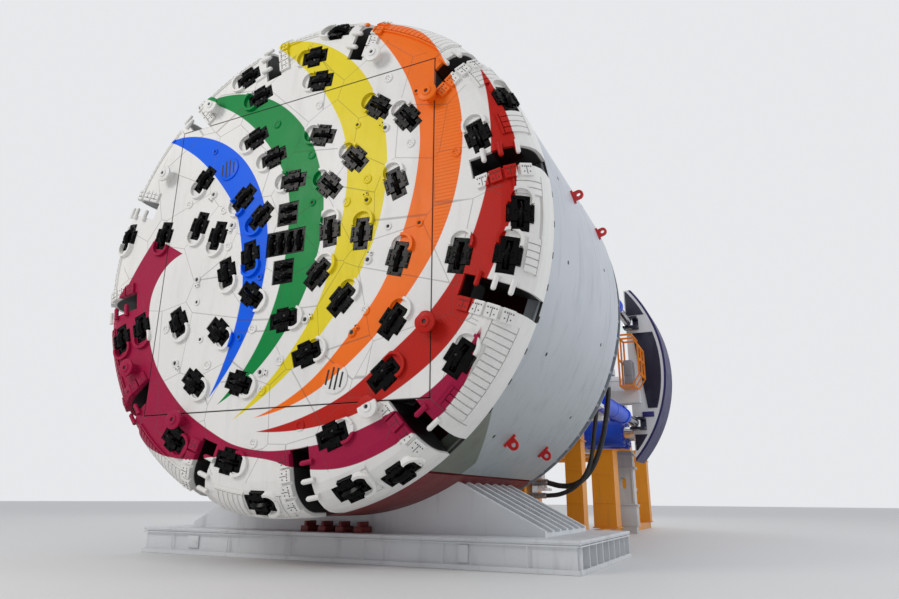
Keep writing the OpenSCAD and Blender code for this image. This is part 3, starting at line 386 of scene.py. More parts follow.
# %% Helpers for materials
def coords():
    """The object's own coordinates, in metres"""
    return Wire.node("ShaderNodeTexCoord", {}, out="Object")


def xyz(vector):
    """The three parts of a vector, as wires"""
    split = Wire.node("ShaderNodeSeparateXYZ", {0: vector}).socket.node
    return [Wire(split.outputs[k]) for k in range(3)]


def noise(vector, scale, detail=3.0, rough=0.5):
    settings = {"Vector": vector, "Scale": scale, "Detail": detail, "Roughness": rough}
    return Wire.node("ShaderNodeTexNoise", settings)


def stretched(vector, scale):
    """The coordinates multiplied along each axis, which stretches a pattern"""
    return Wire.node("ShaderNodeMapping", {"Vector": vector, "Scale": scale})


def mixed(factor, a, b, blend="MIX"):
    """Two colours mixed; the mix node's colours are its inputs 6 and 7 and its output 2"""
    return Wire.node("ShaderNodeMix", {0: factor, 6: a, 7: b}, out=2, data_type="RGBA", blend_type=blend)


def shade(*rgb):
    """A colour written as it looks on a screen, from 0 to 1, turned into light"""
    return tuple(c / 12.92 if c <= 0.04045 else ((c + 0.055) / 1.055) ** 2.4 for c in rgb) + (1.0,)


def start(name):
    """A new material and its main shader; the wires that follow go in its node tree"""
    mat = bpy.data.materials.new(name)
    mat.use_nodes = True
    Wire.tree = mat.node_tree
    return mat, mat.node_tree.nodes["Principled BSDF"]


def plug(bsdf, **wires):
    """Joins wires to the shader's sockets by name, with _ for a space"""
    for key, wire in wires.items():
        Wire.tree.links.new(wire.socket, bsdf.inputs[key.replace("_", " ")])


def bump(height, strength, distance):
    """A normal that follows a height, for small relief"""
    return Wire.node("ShaderNodeBump", {"Height": height, "Strength": strength, "Distance": distance})


print("a mid grey of 0.5 on a screen is", round(shade(0.5)[0], 3), "in light")

# %% [markdown]
# ## Paint and metal
# Painted steel looks clean from afar and has streaks, dust and faint waves up close.
# A photograph of paint could be wrapped round it, but noise on the object's coordinates has
# no seams and never repeats. Bare metal gets scratches in one direction and soft clouds.

# %% Paint and metal
GRIME = (0.10, 0.085, 0.07, 1)


def weathered(p, colour, dirt):
    """A paint colour with slow tint changes, streaks that run down and grime near the floor"""
    x, y, z = xyz(p)
    broad = noise(p, 0.55, 3.0).step(0.3, 0.7)
    streak = noise(stretched(p, (2.6, 2.6, 0.35)), 1.6, 5.0, 0.6).step(0.52, 0.78)
    specks = noise(p, 26.0, 3.0).step(0.68, 0.74)
    low = (1.1 - z).step(0.0, 1.6)
    tinted = mixed(broad * 0.14, colour, (0.5, 0.52, 0.55, 1), "MULTIPLY")
    grime = (streak * 0.55 + specks * 0.35 + low * 0.5) * dirt
    return mixed(grime, tinted, GRIME), streak, specks


def painted(name, colour, rough=0.38, dirt=0.3, coat=0.0):
    """A weathered paint with a fine orange peel"""
    mat, bsdf = start(name)
    p = coords()
    base, streak, specks = weathered(p, colour, dirt)
    fine = noise(p, 55.0, 2.0)
    plates = noise(p, 1.7, 2.0)
    bsdf.inputs["Coat Weight"].default_value = coat
    bsdf.inputs["Coat Roughness"].default_value = 0.15
    plug(bsdf, Base_Color=base, Roughness=(noise(p, 3.0, 4.0) - 0.5) * 0.25 + streak * 0.12 + rough,
        Normal=bump(fine * 0.25 + plates * 2.0 - specks * 0.4, 0.18, 0.004))
    return mat


def metal(name, colour, rough, scratch=(1.0, 1.0, 30.0), stain=0.35):
    """Bare metal, with scratches that run across the axis with the largest stretch"""
    mat, bsdf = start(name)
    p = coords()
    lines = noise(stretched(p, scratch), 6.0, 4.0)
    cloud = noise(p, 2.4, 4.0).step(0.45, 0.75)
    bsdf.inputs["Metallic"].default_value = 1.0
    plug(bsdf, Base_Color=mixed(cloud * stain, colour, tuple(0.45 * c for c in colour[:3]) + (1.0,)),
        Roughness=(lines - 0.5) * 0.22 + cloud * 0.15 + rough, Normal=bump(lines, 0.12, 0.002))
    return mat


print("paint and metal are ready")

# %% [markdown]
# ## Hoses
# Two hydraulic hoses hang from the yoke's bracket to a block low on the front stand. A hose
# could be swept in bmesh, but a curve with a round bevel is simpler, stays smooth and tells
# its own length. The routes repeat those of the CAD model, across the machine and up, at one
# depth each.

# %% Hoses
# Millimetres across the machine and up, from the lower end to the yoke
large_route = [(2130, 1430), (2250, 1428), (2400, 1391), (2581, 1351), (2810, 1349), (3026, 1420),
    (3209, 1558), (3351, 1737), (3462, 1937), (3551, 2149), (3623, 2366), (3683, 2588), (3734, 2811),
    (3776, 3037), (3810, 3263), (3832, 3470), (3840, 3600), (3840, 3720)]
small_route = [(2130, 1130), (2240, 1130), (2390, 1134), (2586, 1155), (2804, 1226), (3001, 1342),
    (3165, 1500), (3288, 1693), (3369, 1907), (3420, 2130), (3457, 2356), (3492, 2583), (3530, 2809),
    (3564, 3035), (3588, 3263), (3601, 3492), (3605, 3620), (3605, 3720)]


def smooth_route(route, parts):
    """A smooth curve through every point of the route, cut in short straight parts"""
    made = []
    for i in range(len(route) - 1):
        a, b, c, d = (Vector(route[min(max(k, 0), len(route) - 1)]) for k in (i - 1, i, i + 1, i + 2))
        for step in range(parts):
            t = step / parts
            bend = t * t * (2 * a - 5 * b + 4 * c - d) + t * t * t * (3 * b - a - 3 * c + d)
            made.append(0.5 * (2 * b + t * (c - a) + bend))
    return made + [Vector(route[-1])]


hose_mat, hose_bsdf = start("hose_rubber_look")
p = coords()
x, y, z = xyz(p)
weave = ((z + x * 0.6) * 420.0).maths("SINE")
dusty = noise(p, 9.0, 4.0).step(0.5, 0.8) * 0.5
plug(hose_bsdf, Base_Color=mixed(dusty, (0.012, 0.012, 0.013, 1), (0.06, 0.058, 0.055, 1)),
    Roughness=(noise(p, 14.0) - 0.5) * 0.2 + 0.5, Normal=bump(weave, 0.35, 0.002))
hoses = []
# name, route, distance behind the face, diameter
HOSES = [("hose_large_look", large_route, 7.15, 0.12), ("hose_small_look", small_route, 7.0, 0.10)]
for name, route, behind, diameter in HOSES:
    y = behind + FACE_Y
    line = [Vector((p.x / 1000, y, p.y / 1000)) for p in smooth_route(route, 4)]
    curve = bpy.data.curves.new(name, "CURVE")
    curve.dimensions = "3D"
    spline = curve.splines.new("POLY")
    spline.points.add(len(line) - 1)
    for point, co in zip(spline.points, line):
        point.co = (*co, 1.0)
    curve.bevel_depth = diameter / 2
    curve.bevel_resolution = 8
    curve.use_fill_caps = True
    curve.materials.append(hose_mat)
    hose = placed(name, curve)
    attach(hose, "machine")
    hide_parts(name.replace("_look", ""))
    length = sum((b - a).length for a, b in zip(line, line[1:]))
    hoses.append((hose, line, length, diameter))
    print(name, "is", round(length, 2), "m long")

# %% [markdown]
# ## Hose ends
# Each hose ends in a crimped steel sleeve and a hexagon nut, as pressed fittings do. A stack
# of cylinders would do for the sleeve, but one turned profile gives all its grooves at once.

# %% Hose ends
steel = metal("fitting_steel_look", (0.42, 0.42, 0.43, 1), 0.32)
for hose, line, length, diameter in hoses:
    ends = Solids()
    r = diameter / 2
    for tip, after in ((line[0], line[3]), (line[-1], line[-4])):
        along = (after - tip).normalized()
        place = frame_of(REARWARDS.cross(along), REARWARDS, along, tip)
        sleeve = [(0.001, 0.0), (0.014, 0.0), (0.014, 0.03), (0.009, 0.034), (0.014, 0.04), (0.014, 0.08),
            (0.009, 0.084), (0.014, 0.09), (0.014, 0.15), (0.004, 0.17), (0.001, 0.17)]
        ends.turned(place, [(r + out, up) for out, up in sleeve], steps=28)
        for k in range(6):
            flat = place @ spun(60 * k) @ at(r + 0.016, 0, 0.015)
            ends.box(flat, (0.016, (r + 0.02) * 1.1, 0.028), 0.003)
    nuts = ends.piece(hose.name.replace("_look", "_ends"), "machine", steel, "fitting_steel")

# %% [markdown]
# ## Paint of the head
# The head is white with six curved bands, painted over all that stands on it. An image could
# hold them, but a mask worked out from the place on the head is sharp at any distance. A band
# lies between two smooth curves, each given as radii about the band's own centre at equal
# steps of angle.

# %% Paint of the head
# colour: centre X, centre Z above the axis, first angle, last angle, inner radii, outer radii, shade
BANDS = {
    "blue": (-3.50, -0.50, -44, 86, (2.99, 2.77, 2.66, 2.59, 2.64, 2.70, 2.91, 3.26),
        (2.99, 3.01, 3.08, 3.17, 3.26, 3.33, 3.33, 3.26), shade(0.0, 0.38, 0.93)),
    "green": (-2.90, -0.10, -56, 81, (3.14, 3.02, 2.94, 2.94, 3.07, 3.13, 3.29, 3.55),
        (3.14, 3.30, 3.47, 3.65, 3.78, 3.85, 3.78, 3.55), shade(0.0, 0.53, 0.25)),
    "yellow": (-2.20, 0.90, -70, 67, (4.12, 3.83, 3.63, 3.44, 3.39, 3.40, 3.37, 3.44, 3.66),
        (4.12, 4.03, 4.03, 4.12, 4.16, 4.17, 4.13, 3.96, 3.66), shade(0.92, 0.84, 0.16)),
    "orange": (-0.90, 1.10, -82, 53, (4.09, 3.91, 3.68, 3.57, 3.45, 3.43, 3.48, 3.51, 3.56, 3.68),
        (4.09, 4.09, 4.03, 4.04, 4.12, 4.18, 4.22, 4.20, 4.12, 3.68), shade(0.98, 0.46, 0.12)),
    "red": (0.00, 0.60, -94, 28, (3.78, 3.64, 3.55, 3.46, 3.51, 3.59, 3.65, 3.76, 3.87, 4.02),
        (3.78, 3.82, 3.91, 3.99, 4.08, 4.09, 4.15, 4.17, 4.09, 4.02), shade(0.76, 0.12, 0.08)),
    "magenta": (-0.20, -1.10, 150, 349,
        (2.55, 2.90, 2.83, 2.65, 2.45, 2.33, 2.27, 2.31, 2.37, 2.47, 2.67, 2.97, 3.46, 3.87),
        (3.44, 3.63, 3.91, 3.88, 3.65, 3.23, 2.81, 2.50, 2.49, 2.78, 3.13, 3.43, 3.79, 3.88),
        shade(0.66, 0.09, 0.27)),
}
# Half the side of the square centre plate, and the spacing of the grooves ground in the paint
CENTRE_HALF, GROOVE = 2.808, 2 * math.pi / 0.06
# The top of the table that a band's radii are read from
TABLE_TOP = 5.0


print(len(BANDS), "bands:", ", ".join(BANDS))

# %% [markdown]
# ## Masks of the head
# A mask is 1 where a colour goes and 0 elsewhere. Geometry could carry the bands as separate
# faces, but they run over plates, boxes and ribs alike, so they are worked out in the shader.
# The walls of the openings are found by their depth below the surface and painted black: painted shade.

# %% Masks of the head
def band_mask(x, z, band):
    """1 inside a band and 0 outside it"""
    cx, cz, first, last, inner, outer = band[:6]
    dx, dz = x - cx, z - cz
    radius = (dx * dx + dz * dz).maths("SQRT")
    share = dz.maths("ARCTAN2", dx) / (2 * math.pi) - first / 360.0 + 2.0
    turn = share.maths("FRACT") * (360.0 / (last - first))
    beyond = (radius - turn.table(inner, TABLE_TOP)).step(-0.006, 0.006)
    within = (turn.table(outer, TABLE_TOP) - radius).step(-0.006, 0.006)
    return beyond * within * (1.0 - turn).step(0.0, 0.01)


def depth_below(x, y, z):
    """How deep a point lies below the head's outer surface; z is counted from the axis"""
    out, ahead = (x * x + z * z).maths("SQRT") - SHOULDER_C, FACE_Y + SHOULDER_R - y
    wide, far = out.maths("MAXIMUM", 0.0), ahead.maths("MAXIMUM", 0.0)
    corner = (wide * wide + far * far).maths("SQRT")
    return SHOULDER_R - corner - out.maths("MAXIMUM", ahead).maths("MINIMUM", 0.0)


print("masks for the bands and for the hollows")

# %% [markdown]
# ## White paint with bands
# The bands lie on a worn white, the plates' seams and joints are dark lines, and two bands
# show the crossed grooves that were ground in them. The same function serves the head, whose
# openings get black painted shade inside, and the pegs in them, which are painted all over.

# %% White paint with bands
def head_look(name, hollows):
    """White paint with the bands; where hollows is true, the walls of openings get black painted shade"""
    mat, bsdf = start(name)
    p = coords()
    x, y, z = xyz(p)
    z = z - AXIS_Z
    front = (-3.10 - y).step(0.0, 0.02)
    base = shade(0.93, 0.925, 0.91)
    masks = {}
    for colour, band in BANDS.items():
        masks[colour] = band_mask(x, z, band) * front
        base = mixed(masks[colour], base, band[-1])
    falling, rising, level = [(way * GROOVE).maths("SINE") for way in (x + z, x - z, z)]
    lined = masks["orange"] * (x - 2.82).step(0.0, 0.02) * (1.9 - z).step(0.0, 0.02)
    crossed = falling.maths("MAXIMUM", rising).step(0.7, 1.0) * (masks["red"] + masks["magenta"])
    hatch = crossed + level.step(0.5, 1.0) * lined
    ax, az = x.size(), z.size()
    square_seam = 1.0 - (ax.maths("MAXIMUM", az) - CENTRE_HALF).size().step(0.008, 0.018)
    corner_seam = (1.0 - (ax - az).size().step(0.008, 0.016)) * ax.maths("MINIMUM", az).step(2.79, 2.80)
    flat = {"Vector": stretched(p, (1.0, 0.0, 1.0)), "Scale": 0.95, "Randomness": 0.85}
    cells = Wire.node("ShaderNodeTexVoronoi", flat, feature="DISTANCE_TO_EDGE")
    sheet = 1.0 - (y - FACE_Y).size().step(0.004, 0.008)
    plates = (1.0 - cells.step(0.003, 0.008)) * sheet * 0.40
    seams = (square_seam * 0.62 + corner_seam * 0.55) * (y + 3.61).step(0.0, 0.004)
    joints = seams.maths("MAXIMUM", plates) * front
    painted_base, streak = weathered(p, base, 0.22)[:2]
    dark_joint = mixed(joints, painted_base, (0.07, 0.065, 0.06, 1))
    final = mixed(hatch * 0.2, dark_joint, (0.10, 0.03, 0.03, 1))
    # Painted shade: walls that lie deeper than about 5 cm below the surface turn near black.
    if hollows:
        final = mixed(depth_below(x, y, z).step(0.045, 0.065) * 0.97, final, (0.006, 0.006, 0.006, 1))
    bsdf.inputs["Specular IOR Level"].default_value = 0.12
    plug(bsdf, Base_Color=final, Roughness=(noise(p, 3.0, 4.0) - 0.5) * 0.25 + streak * 0.1 + 0.36,
        Normal=bump(noise(p, 6.0, 4.0) * 1.2 - joints * 1.5 + hatch * 0.8, 0.35, 0.006))
    return mat


head_paint, peg_paint = head_look("head_paint", True), head_look("peg_paint", False)
print("head paint with", len(BANDS), "bands and", len(head_paint.node_tree.nodes), "shader nodes")

# %% [markdown]
# ## Other materials
# Every part of the machine gets a paint or a metal with its own wear: streaks and dust on the
# paint, fine scratches on the chrome. Separate node trees would drift apart, so one function
# makes the paints and one the metals, from a few values each. The shield adds masks of painted
# shade low down, and the shoes a mask of their own.

# %% Other materials
cutter_paint, bsdf = start("cutter_paint")
p = coords()
worn = noise(p, 7.0, 5.0).step(0.6, 0.72)
bsdf.inputs["Specular IOR Level"].default_value = 0.09
plug(bsdf, Base_Color=mixed(worn * 0.4, (0.001, 0.001, 0.001, 1), (0.014, 0.013, 0.012, 1)),
    Roughness=worn * 0.2 + (noise(p, 18.0) - 0.5) * 0.16 + 0.20,
    Normal=bump(noise(p, 22.0, 4.0), 0.3, 0.004))
shield_paint, bsdf = start("shield_paint")
p = coords()
x, y, z = xyz(p)
# Painted shade: the shield turns darker and greener towards the bottom.
shield_tone = mixed((4.4 - z).step(0.0, 3.4) * 0.75, shade(0.76, 0.78, 0.81), shade(0.55, 0.59, 0.57))
# Painted shade: a darker grey-green patch on the lower front of the side shield, below a slanted edge.
angle = (z - AXIS_Z).maths("ARCTAN2", x.size()) * (180 / math.pi)
low_front = (angle + 40.0 + (y + 2.73) * 11.6) * -1.0
painted_shade_patch = low_front.step(0.0, 0.4) * (-1.55 - y).step(0.0, 0.05)
shield_tone = mixed(painted_shade_patch, shield_tone, shade(0.43, 0.45, 0.40))
rings = (1.0 - ((y - 1.3).size()).step(0.004, 0.012)) * 0.6
tone, streak = weathered(p, shield_tone, 0.35)[:2]
plug(bsdf, Base_Color=mixed(rings, tone, (0.12, 0.12, 0.13, 1)),
    Roughness=(noise(p, 2.0, 4.0) - 0.5) * 0.25 + streak * 0.15 + 0.42,
    Normal=bump(noise(p, 1.1, 2.0) * 3.0 + noise(p, 40.0) * 0.2 - rings * 0.5, 0.22, 0.006))
shoe_paint = painted("shoe_white_look", shade(0.88, 0.89, 0.90), 0.4, 0.4)
bsdf = shoe_paint.node_tree.nodes["Principled BSDF"]
white = Wire(bsdf.inputs["Base Color"].links[0].from_socket)
clevis = (9.994 - xyz(coords())[1]).step(0.0, 0.004)
plug(bsdf, Base_Color=mixed(clevis, white, shade(0.10, 0.11, 0.20)))
LOOKS = {
    "head_face head_rim head_lugs": head_paint, "bucket_pegs": peg_paint,
    "centre_cutters face_cutters rim_cutters": cutter_paint,
    "shield_roof shield_left shield_right": shield_paint,
    "head_body": painted("inner_steel", (0.10, 0.10, 0.105, 1), 0.5, 0.5),
    "shield_bottom bulkhead": painted("primer_red_look", shade(0.46, 0.08, 0.09), 0.5, 0.45),
    "shield_lugs drawbar": painted("lug_red_look", shade(0.82, 0.08, 0.10), 0.35, 0.25),
    "main_bearing": metal("bearing_steel", (0.50, 0.50, 0.50, 1), 0.3),
    "grip_rods_left grip_rods_right propel_rods_left propel_rods_right":
        metal("chrome_look", (0.78, 0.79, 0.80, 1), 0.10, (30.0, 1.0, 1.0), 0.12),
    "drive_motors propel_barrels_left propel_barrels_right gripper_cylinders":
        painted("cylinder_blue_look", shade(0.03, 0.31, 0.86), 0.42, 0.3),
    "main_beam thrust_yoke gripper_carrier rear_support rear_leg_left rear_leg_right":
        painted("frame_white_look", shade(0.88, 0.89, 0.90), 0.4, 0.4),
    "shoe_left shoe_right": shoe_paint,
    "shoe_skin_left shoe_skin_right": painted("shoe_skin_look", shade(0.12, 0.11, 0.36), 0.5, 0.4),
    "conveyor_frame erector_track drill_arch decks":
        painted("deck_grey_look", shade(0.58, 0.60, 0.63), 0.5, 0.5),
    "conveyor_belt": painted("belt_look", (0.02, 0.02, 0.02, 1), 0.75, 0.5),
    "ring_erector drill_left drill_right handrails carrier_cages":
        painted("machine_orange_look", shade(0.95, 0.55, 0.10), 0.38, 0.35, 0.1),
    "stands": painted("stand_orange_look", shade(0.93, 0.60, 0.12), 0.42, 0.35),
    "plinth cradle": painted("plinth_white_look", shade(0.89, 0.90, 0.91), 0.45, 0.45),
    "carrier_stands": painted("leg_grey_look", shade(0.78, 0.79, 0.79), 0.42, 0.4),
    "hose_fittings": steel,
}
by_node = {n: m for names, m in LOOKS.items() for n in names.split()}
for name, node in nodes.items():
    if name in by_node:
        for slot in node.material_slots:
            slot.material = by_node[name]
print("materials on", len(by_node), "CAD nodes; left as packed:", sorted(set(nodes) - set(by_node)))
# Near black: painted shade in holes, bores, slots and the gap behind the head, and small black parts such
# as the wedge blocks.
dark = painted("dark_holes", (0.006, 0.006, 0.007, 1), 0.6, 0.1)
bare = metal("bolt_steel", (0.40, 0.40, 0.41, 1), 0.35)

# %% [markdown]
# ## Places on the head
# The cutters sit at a radius and an angle each, the same as in the CAD model. Plugs could be
# placed one by one by eye, but a small test that tells whether a spot on the face is free of
# pockets, muck openings and seams lets the known and the random ones share one rule.

# %% Places on the head
FACE_ANGLES = [189, 135, 3, 317, 233, 87, 47, 196, 274, 135, 356, 166, 316, 104, 44, 228, 72, 287, 162, 17,
    344, 112, 253, 207, 142, 323, 51, 233, 38, 168, 81, 310, 106, 347, 200, 290]
RIM_ANGLES = [85, 258, 18, 238, 109, 200, 325, 169, 348, 79, 357, 268, 290, 25, 300]
# Radius and angle of each
TRUNNIONS = [(3.45, 37), (3.58, 62), (3.74, 122.5), (3.57, 148), (3.30, 328), (3.47, 303), (3.78, 211),
    (3.49, 237)]
GRATES = [(2.28, 131), (2.70, 296)]
cutters = [(0.76 + 0.078 * i, a) for i, a in enumerate(FACE_ANGLES)]
cutters += [(3.64 + 0.056 * i, a) for i, a in enumerate(RIM_ANGLES)]
buckets = [10 + 30 * k for k in range(12)]


def away(angle, other):
    """How far apart two angles are, in degrees"""
    return abs((angle - other + 180) % 360 - 180)


def flat_spot(radius, angle):
    """A point on the face as X and height above the axis"""
    a = math.radians(angle)
    return Vector((radius * math.cos(a), radius * math.sin(a)))


def is_free(radius, angle, room):
    """Whether a spot keeps this much room to cutters, trunnions, grates, openings and seams"""
    here = flat_spot(radius, angle)
    for r, a in cutters:
        out, along = flat_spot(1.0, a), flat_spot(1.0, a + 90)
        off = here - out * r
        if abs(off.dot(out)) < 0.21 + room and abs(off.dot(along)) < 0.28 + room:
            return False
        if abs((off - along * 0.21).length - 0.185) < 0.04 + room:
            return False
    if min((here - flat_spot(*spot)).length for spot in TRUNNIONS + GRATES) < 0.13 + room:
        return False
    if radius > 3.45 and min(away(angle, b) for b in buckets) < math.degrees((0.40 + room) / radius):
        return False
    if max(abs(here.x), abs(here.y)) < 1.02 and min(abs(here.y) - 0.26, abs(here.x) - 0.25) < room:
        return False
    off_seam = abs(max(abs(here.x), abs(here.y)) - CENTRE_HALF) > 0.03 + room
    return off_seam and abs(radius - 3.5) > 0.02 + room


print(len(cutters), "cutters and", len(buckets), "muck openings")

# %% [markdown]
# ## Metal details on the head
# Rock grinds the shoulder most, so wear pads stand on it like the rungs of a ladder, between
# two bars. An array modifier would lay them flat, and turning a short profile about the
# machine's axis makes each follow the round shoulder. Scrapers line the muck openings.

# %% Metal details on the head
ribs = Solids()
# The marks are near black: painted shade in bores, holes and slots, and small black parts.
marks = Solids()


def shoulder_profile(first, last, thick):
    """A low bar over the shoulder between two leans, as radius and height pairs"""
    leans = [math.radians(first + (last - first) * k / 4) for k in range(5)]
    inner = [(SHOULDER_R - 0.02, a) for a in leans]
    outer = [(SHOULDER_R + thick, a) for a in reversed(leans)]
    middle = -FACE_Y - SHOULDER_R
    return [(SHOULDER_C + r * math.sin(a), middle + r * math.cos(a)) for r, a in inner + outer]


def reach(angle):
    """How far over the shoulder the cutters near this angle stand, as a lean in degrees"""
    near = [r for r, a in cutters if r > SHOULDER_C and math.radians(away(angle, a)) * r < 0.34]
    return max([math.degrees(math.asin((r - SHOULDER_C) / SHOULDER_R)) + 27 for r in near] + [0.0])


# First and last lean and thickness of the bars that the wear pads end at
BARS = [(19, 22.5, 0.022), (66.3, 70.3, 0.032)]
for b in buckets:
    for k in range(14):
        angle = b + 6.2 + 1.42 * k
        low = max(24.0, reach(angle))
        if low < 56:
            ribs.turned(AXIS, shoulder_profile(low, 65, 0.028), 1.16, 1, angle - 0.58)
        for first, last, thick in BARS:
            if reach(angle) < first:
                ribs.turned(AXIS, shoulder_profile(first, last, thick), 1.42, 2, angle - 0.71)
    for r in (3.65, 3.87, 4.09, 4.29):
        scraper = on_face(r, b)
        marks.box(scraper @ at(-0.275, 0, 0.046), (0.17, 0.008, 0.004))
        for half in (0.046, -0.046):
            for along, across in ((-0.230, -0.020), (-0.230, 0.020), (-0.315, 0.0)):
                marks.rod(scraper @ at(along, across + half, 0.043), 0.010, 0.006, 12)
        ribs.box(scraper @ at(-0.20, 0, 0.045), (0.03, 0.17, 0.012), 0.004, 1)
print("wear pads and scrapers at", len(buckets), "muck openings")

# %% [markdown]
# ## Plugs, nozzles, grates and trunnions
# Threaded plugs close the lifting holes, nozzles spray water on the rock, and stout trunnions
# carry the head when it is lifted. Each plug's ring is a turned profile, because a rod with a
# hole cut in it would leave thin faces. The seed makes the random plugs the same each time.

# %% Plugs, nozzles, grates and trunnions
random.seed(7)
# Plugs seen in the photograph, and then others where there is room, up to PLUG_COUNT
plugs = [(2.89, 131), (2.44, 100), (1.63, 75), (0.82, 51), (2.60, 79), (1.56, 113), (2.21, 119),
    (1.29, 174), (2.35, 55), (2.73, 29), (1.81, 28), (3.60, 359), (2.03, 358), (1.31, 23), (2.18, 320),
    (1.78, 243), (1.56, 250), (2.48, 234), (2.06, 204), (2.53, 265), (3.36, 265), (0.74, 229)]
PLUG_COUNT = 46
while len(plugs) < PLUG_COUNT:
    spot = (random.uniform(1.1, 3.4), random.uniform(0, 360))
    if all((flat_spot(*spot) - flat_spot(*other)).length > 0.5 for other in plugs):
        plugs.append(spot)
plugs = [spot for spot in plugs if is_free(*spot, 0.09)]
for k, (r, a) in enumerate(plugs):
    wide = 0.085 if k % 3 else 0.065
    bore = wide - 0.035
    place = on_face(r, a)
    ring = [(bore, -0.005), (wide, -0.005), (wide, 0.012), (wide - 0.012, 0.02), (bore, 0.016)]
    ribs.turned(place, ring, steps=28)
    if k % 3 == 0:
        marks.rod(place @ at(0, 0, -0.002), wide - 0.03, 0.006, 24)
    else:
        ribs.rod(place @ at(0, 0, -0.004), wide - 0.034, 0.012, 24)
        for c in range(4):
            marks.rod(place @ spun(90 * c + 45) @ at(wide * 0.35, 0, 0.008), 0.006, 0.003, 8)
NOZZLES = [(2.18, 145), (1.35, 157), (1.98, 192), (2.93, 221), (2.24, 263), (1.53, 291), (2.57, 42),
    (1.68, 16), (1.78, 341), (2.26, 310)]
SPRAY = [(0.035, 0.0), (0.075, 0.0), (0.075, 0.02), (0.058, 0.034), (0.045, 0.034), (0.035, 0.02)]
for r, a in NOZZLES:
    place = on_face(r, a)
    ribs.turned(place, SPRAY, steps=28)
    marks.rod(place @ at(0, 0, 0.001), 0.034, 0.014, 20)
    ribs.box(place @ at(0.11, 0, 0.012), (0.07, 0.09, 0.03), 0.008)
    for side in (-0.03, 0.03):
        marks.bolt(place @ at(0.115, side, 0.027), 0.009, 0.008)
for r, a in GRATES:
    place = on_face(r, a) @ spun(37)
    ribs.rod(place @ at(0, 0, -0.004), 0.235, 0.024, 40, bevel=0.009)
    for k, long in enumerate((0.24, 0.34, 0.34, 0.24)):
        marks.box(place @ at((k - 1.5) * 0.088, 0, 0.019), (0.036, long, 0.006), 0.0025, 1)
for r, a in TRUNNIONS:
    place = on_face(r, a)
    ribs.rod(place @ at(0, 0, 0.150), 0.165, 0.042, 36, bevel=0.014)
    marks.rod(place @ at(0, 0, 0.188), 0.030, 0.006, 18)
lug = on_face(4.01, 216)
ribs.box(lug @ at(0, 0, 0.03), (0.22, 0.16, 0.06), 0.015)
marks.rod(lug @ at(0, 0, 0.058), 0.03, 0.006, 16)
ribs.piece("head_ribs", "cutterhead", head_paint, "white_paint")
marks.piece("head_marks", "cutterhead", dark, "head_steel")

# %% [markdown]
# ## Bolts on the cutters
# Each cutter is clamped by wedge blocks with four bolts on its seats and four on its box, so
# that a worn one can be changed. Sinking them with a boolean would cost many faces, and small
# closed solids that stand on the seats look the same from here.

# %% Bolts on the cutters
clamps = Solids()
for r, a in cutters:
    place = on_face(r, a)
    for side in (-1, 1):
        clamps.box(place @ at(0, side * 0.165, 0.020), (0.10, 0.05, 0.022), 0.006, 1)
        for end in (-1, 1):
            clamps.bolt(place @ at(end * 0.095, side * 0.165, 0.015), 0.018, 0.018)
            clamps.bolt(place @ at(end * 0.235, side * 0.09, -0.010), 0.015, 0.014)
clamps.piece("cutter_clamps", "cutterhead", cutter_paint, "cutter_black")

# %% [markdown]
# ## Shield details
# Black wedge blocks bridge the gap behind the head, and rows of plugged holes run round the
# shield. A bump in the paint would vanish at the outline, so they are real blocks and discs,
# set out by their angle about the machine's axis.

# %% Shield details
# Half the angle at the bottom that the red segment of the shield takes
BOTTOM_HALF = 34
wedges = Solids()
for k in range(24):
    angle = 4.8 - 6.5 * k if k < 8 else 10 + 13.5 * (k - 7)
    if away(angle, -90) > BOTTOM_HALF:
        wedges.box(on_drum(SHIELD_R, angle, -2.755, 0.004), (0.10, 0.036, 0.022), 0.005, 1)
# Near-black discs for the shield's holes: painted shade.
holes = Solids()
for k in range(36):
    angle = 10 * k + 4
    if away(angle, -90) > BOTTOM_HALF:
        for y in (-1.9, 0.9):
            if (k + (y > 0)) % 2:
                holes.rod(on_drum(SHIELD_R, angle, y) @ at(0, 0, -0.003), 0.034, 0.006, 18)
# A near-black ring in the gap behind the head: painted shade.
wedges.turned(AXIS, collar(4.43, 4.465, 2.774, 2.793), steps=180)
wedges.piece("gap_wedges", "machine", dark, "head_steel")
holes.piece("shield_holes", "machine", dark, "head_steel")

# %% [markdown]
# ## Gripper shoes and cylinders
# The shoes press on the tunnel's wall, and the blue cylinders push the machine off them.
# Raised panels and a blank plate stand on each shoe's front, and the cylinders get rings of
# bolts, glands, ports and pipes. A mirror would turn the faces inside out, so one loop makes
# both sides and a sign sets the side.

# %% Gripper shoes and cylinders
SHOE_FRONT, SHOE_EDGE, PANEL_LIFT = 10.0, 4.25, 0.024
PROPEL_X, PROPEL_ZS, PIN_Y, BARREL_Y, EYE_Y = 3.37, (6.68, 3.38), 4.1, 4.38, 9.75
GRIP_YS, GRIP_Z, GRIP_REACH = (10.30, 11.20), 3.15, 2.85
# The stubs on the gripper cylinders
STUB_X, STUB_Z = 2.64, 3.69


def arc_x(z):
    return math.sqrt(SHOE_EDGE ** 2 - (z - AXIS_Z) ** 2)


def shoe_panel(solids, side, inner):
    """A raised panel on a shoe's front, from its inner corners out to the edge's arc"""
    (x_low, z_low), (x_high, z_high) = inner
    heights = [z_low + (z_high - z_low) * k / 8 for k in range(9)]
    outline = [(side * x_high, z_high), (side * x_low, z_low)] + [(side * arc_x(z), z) for z in heights]
    solids.plate(facing(0, SHOE_FRONT + 0.001, 0, "-y"), outline, PANEL_LIFT, 0.006)


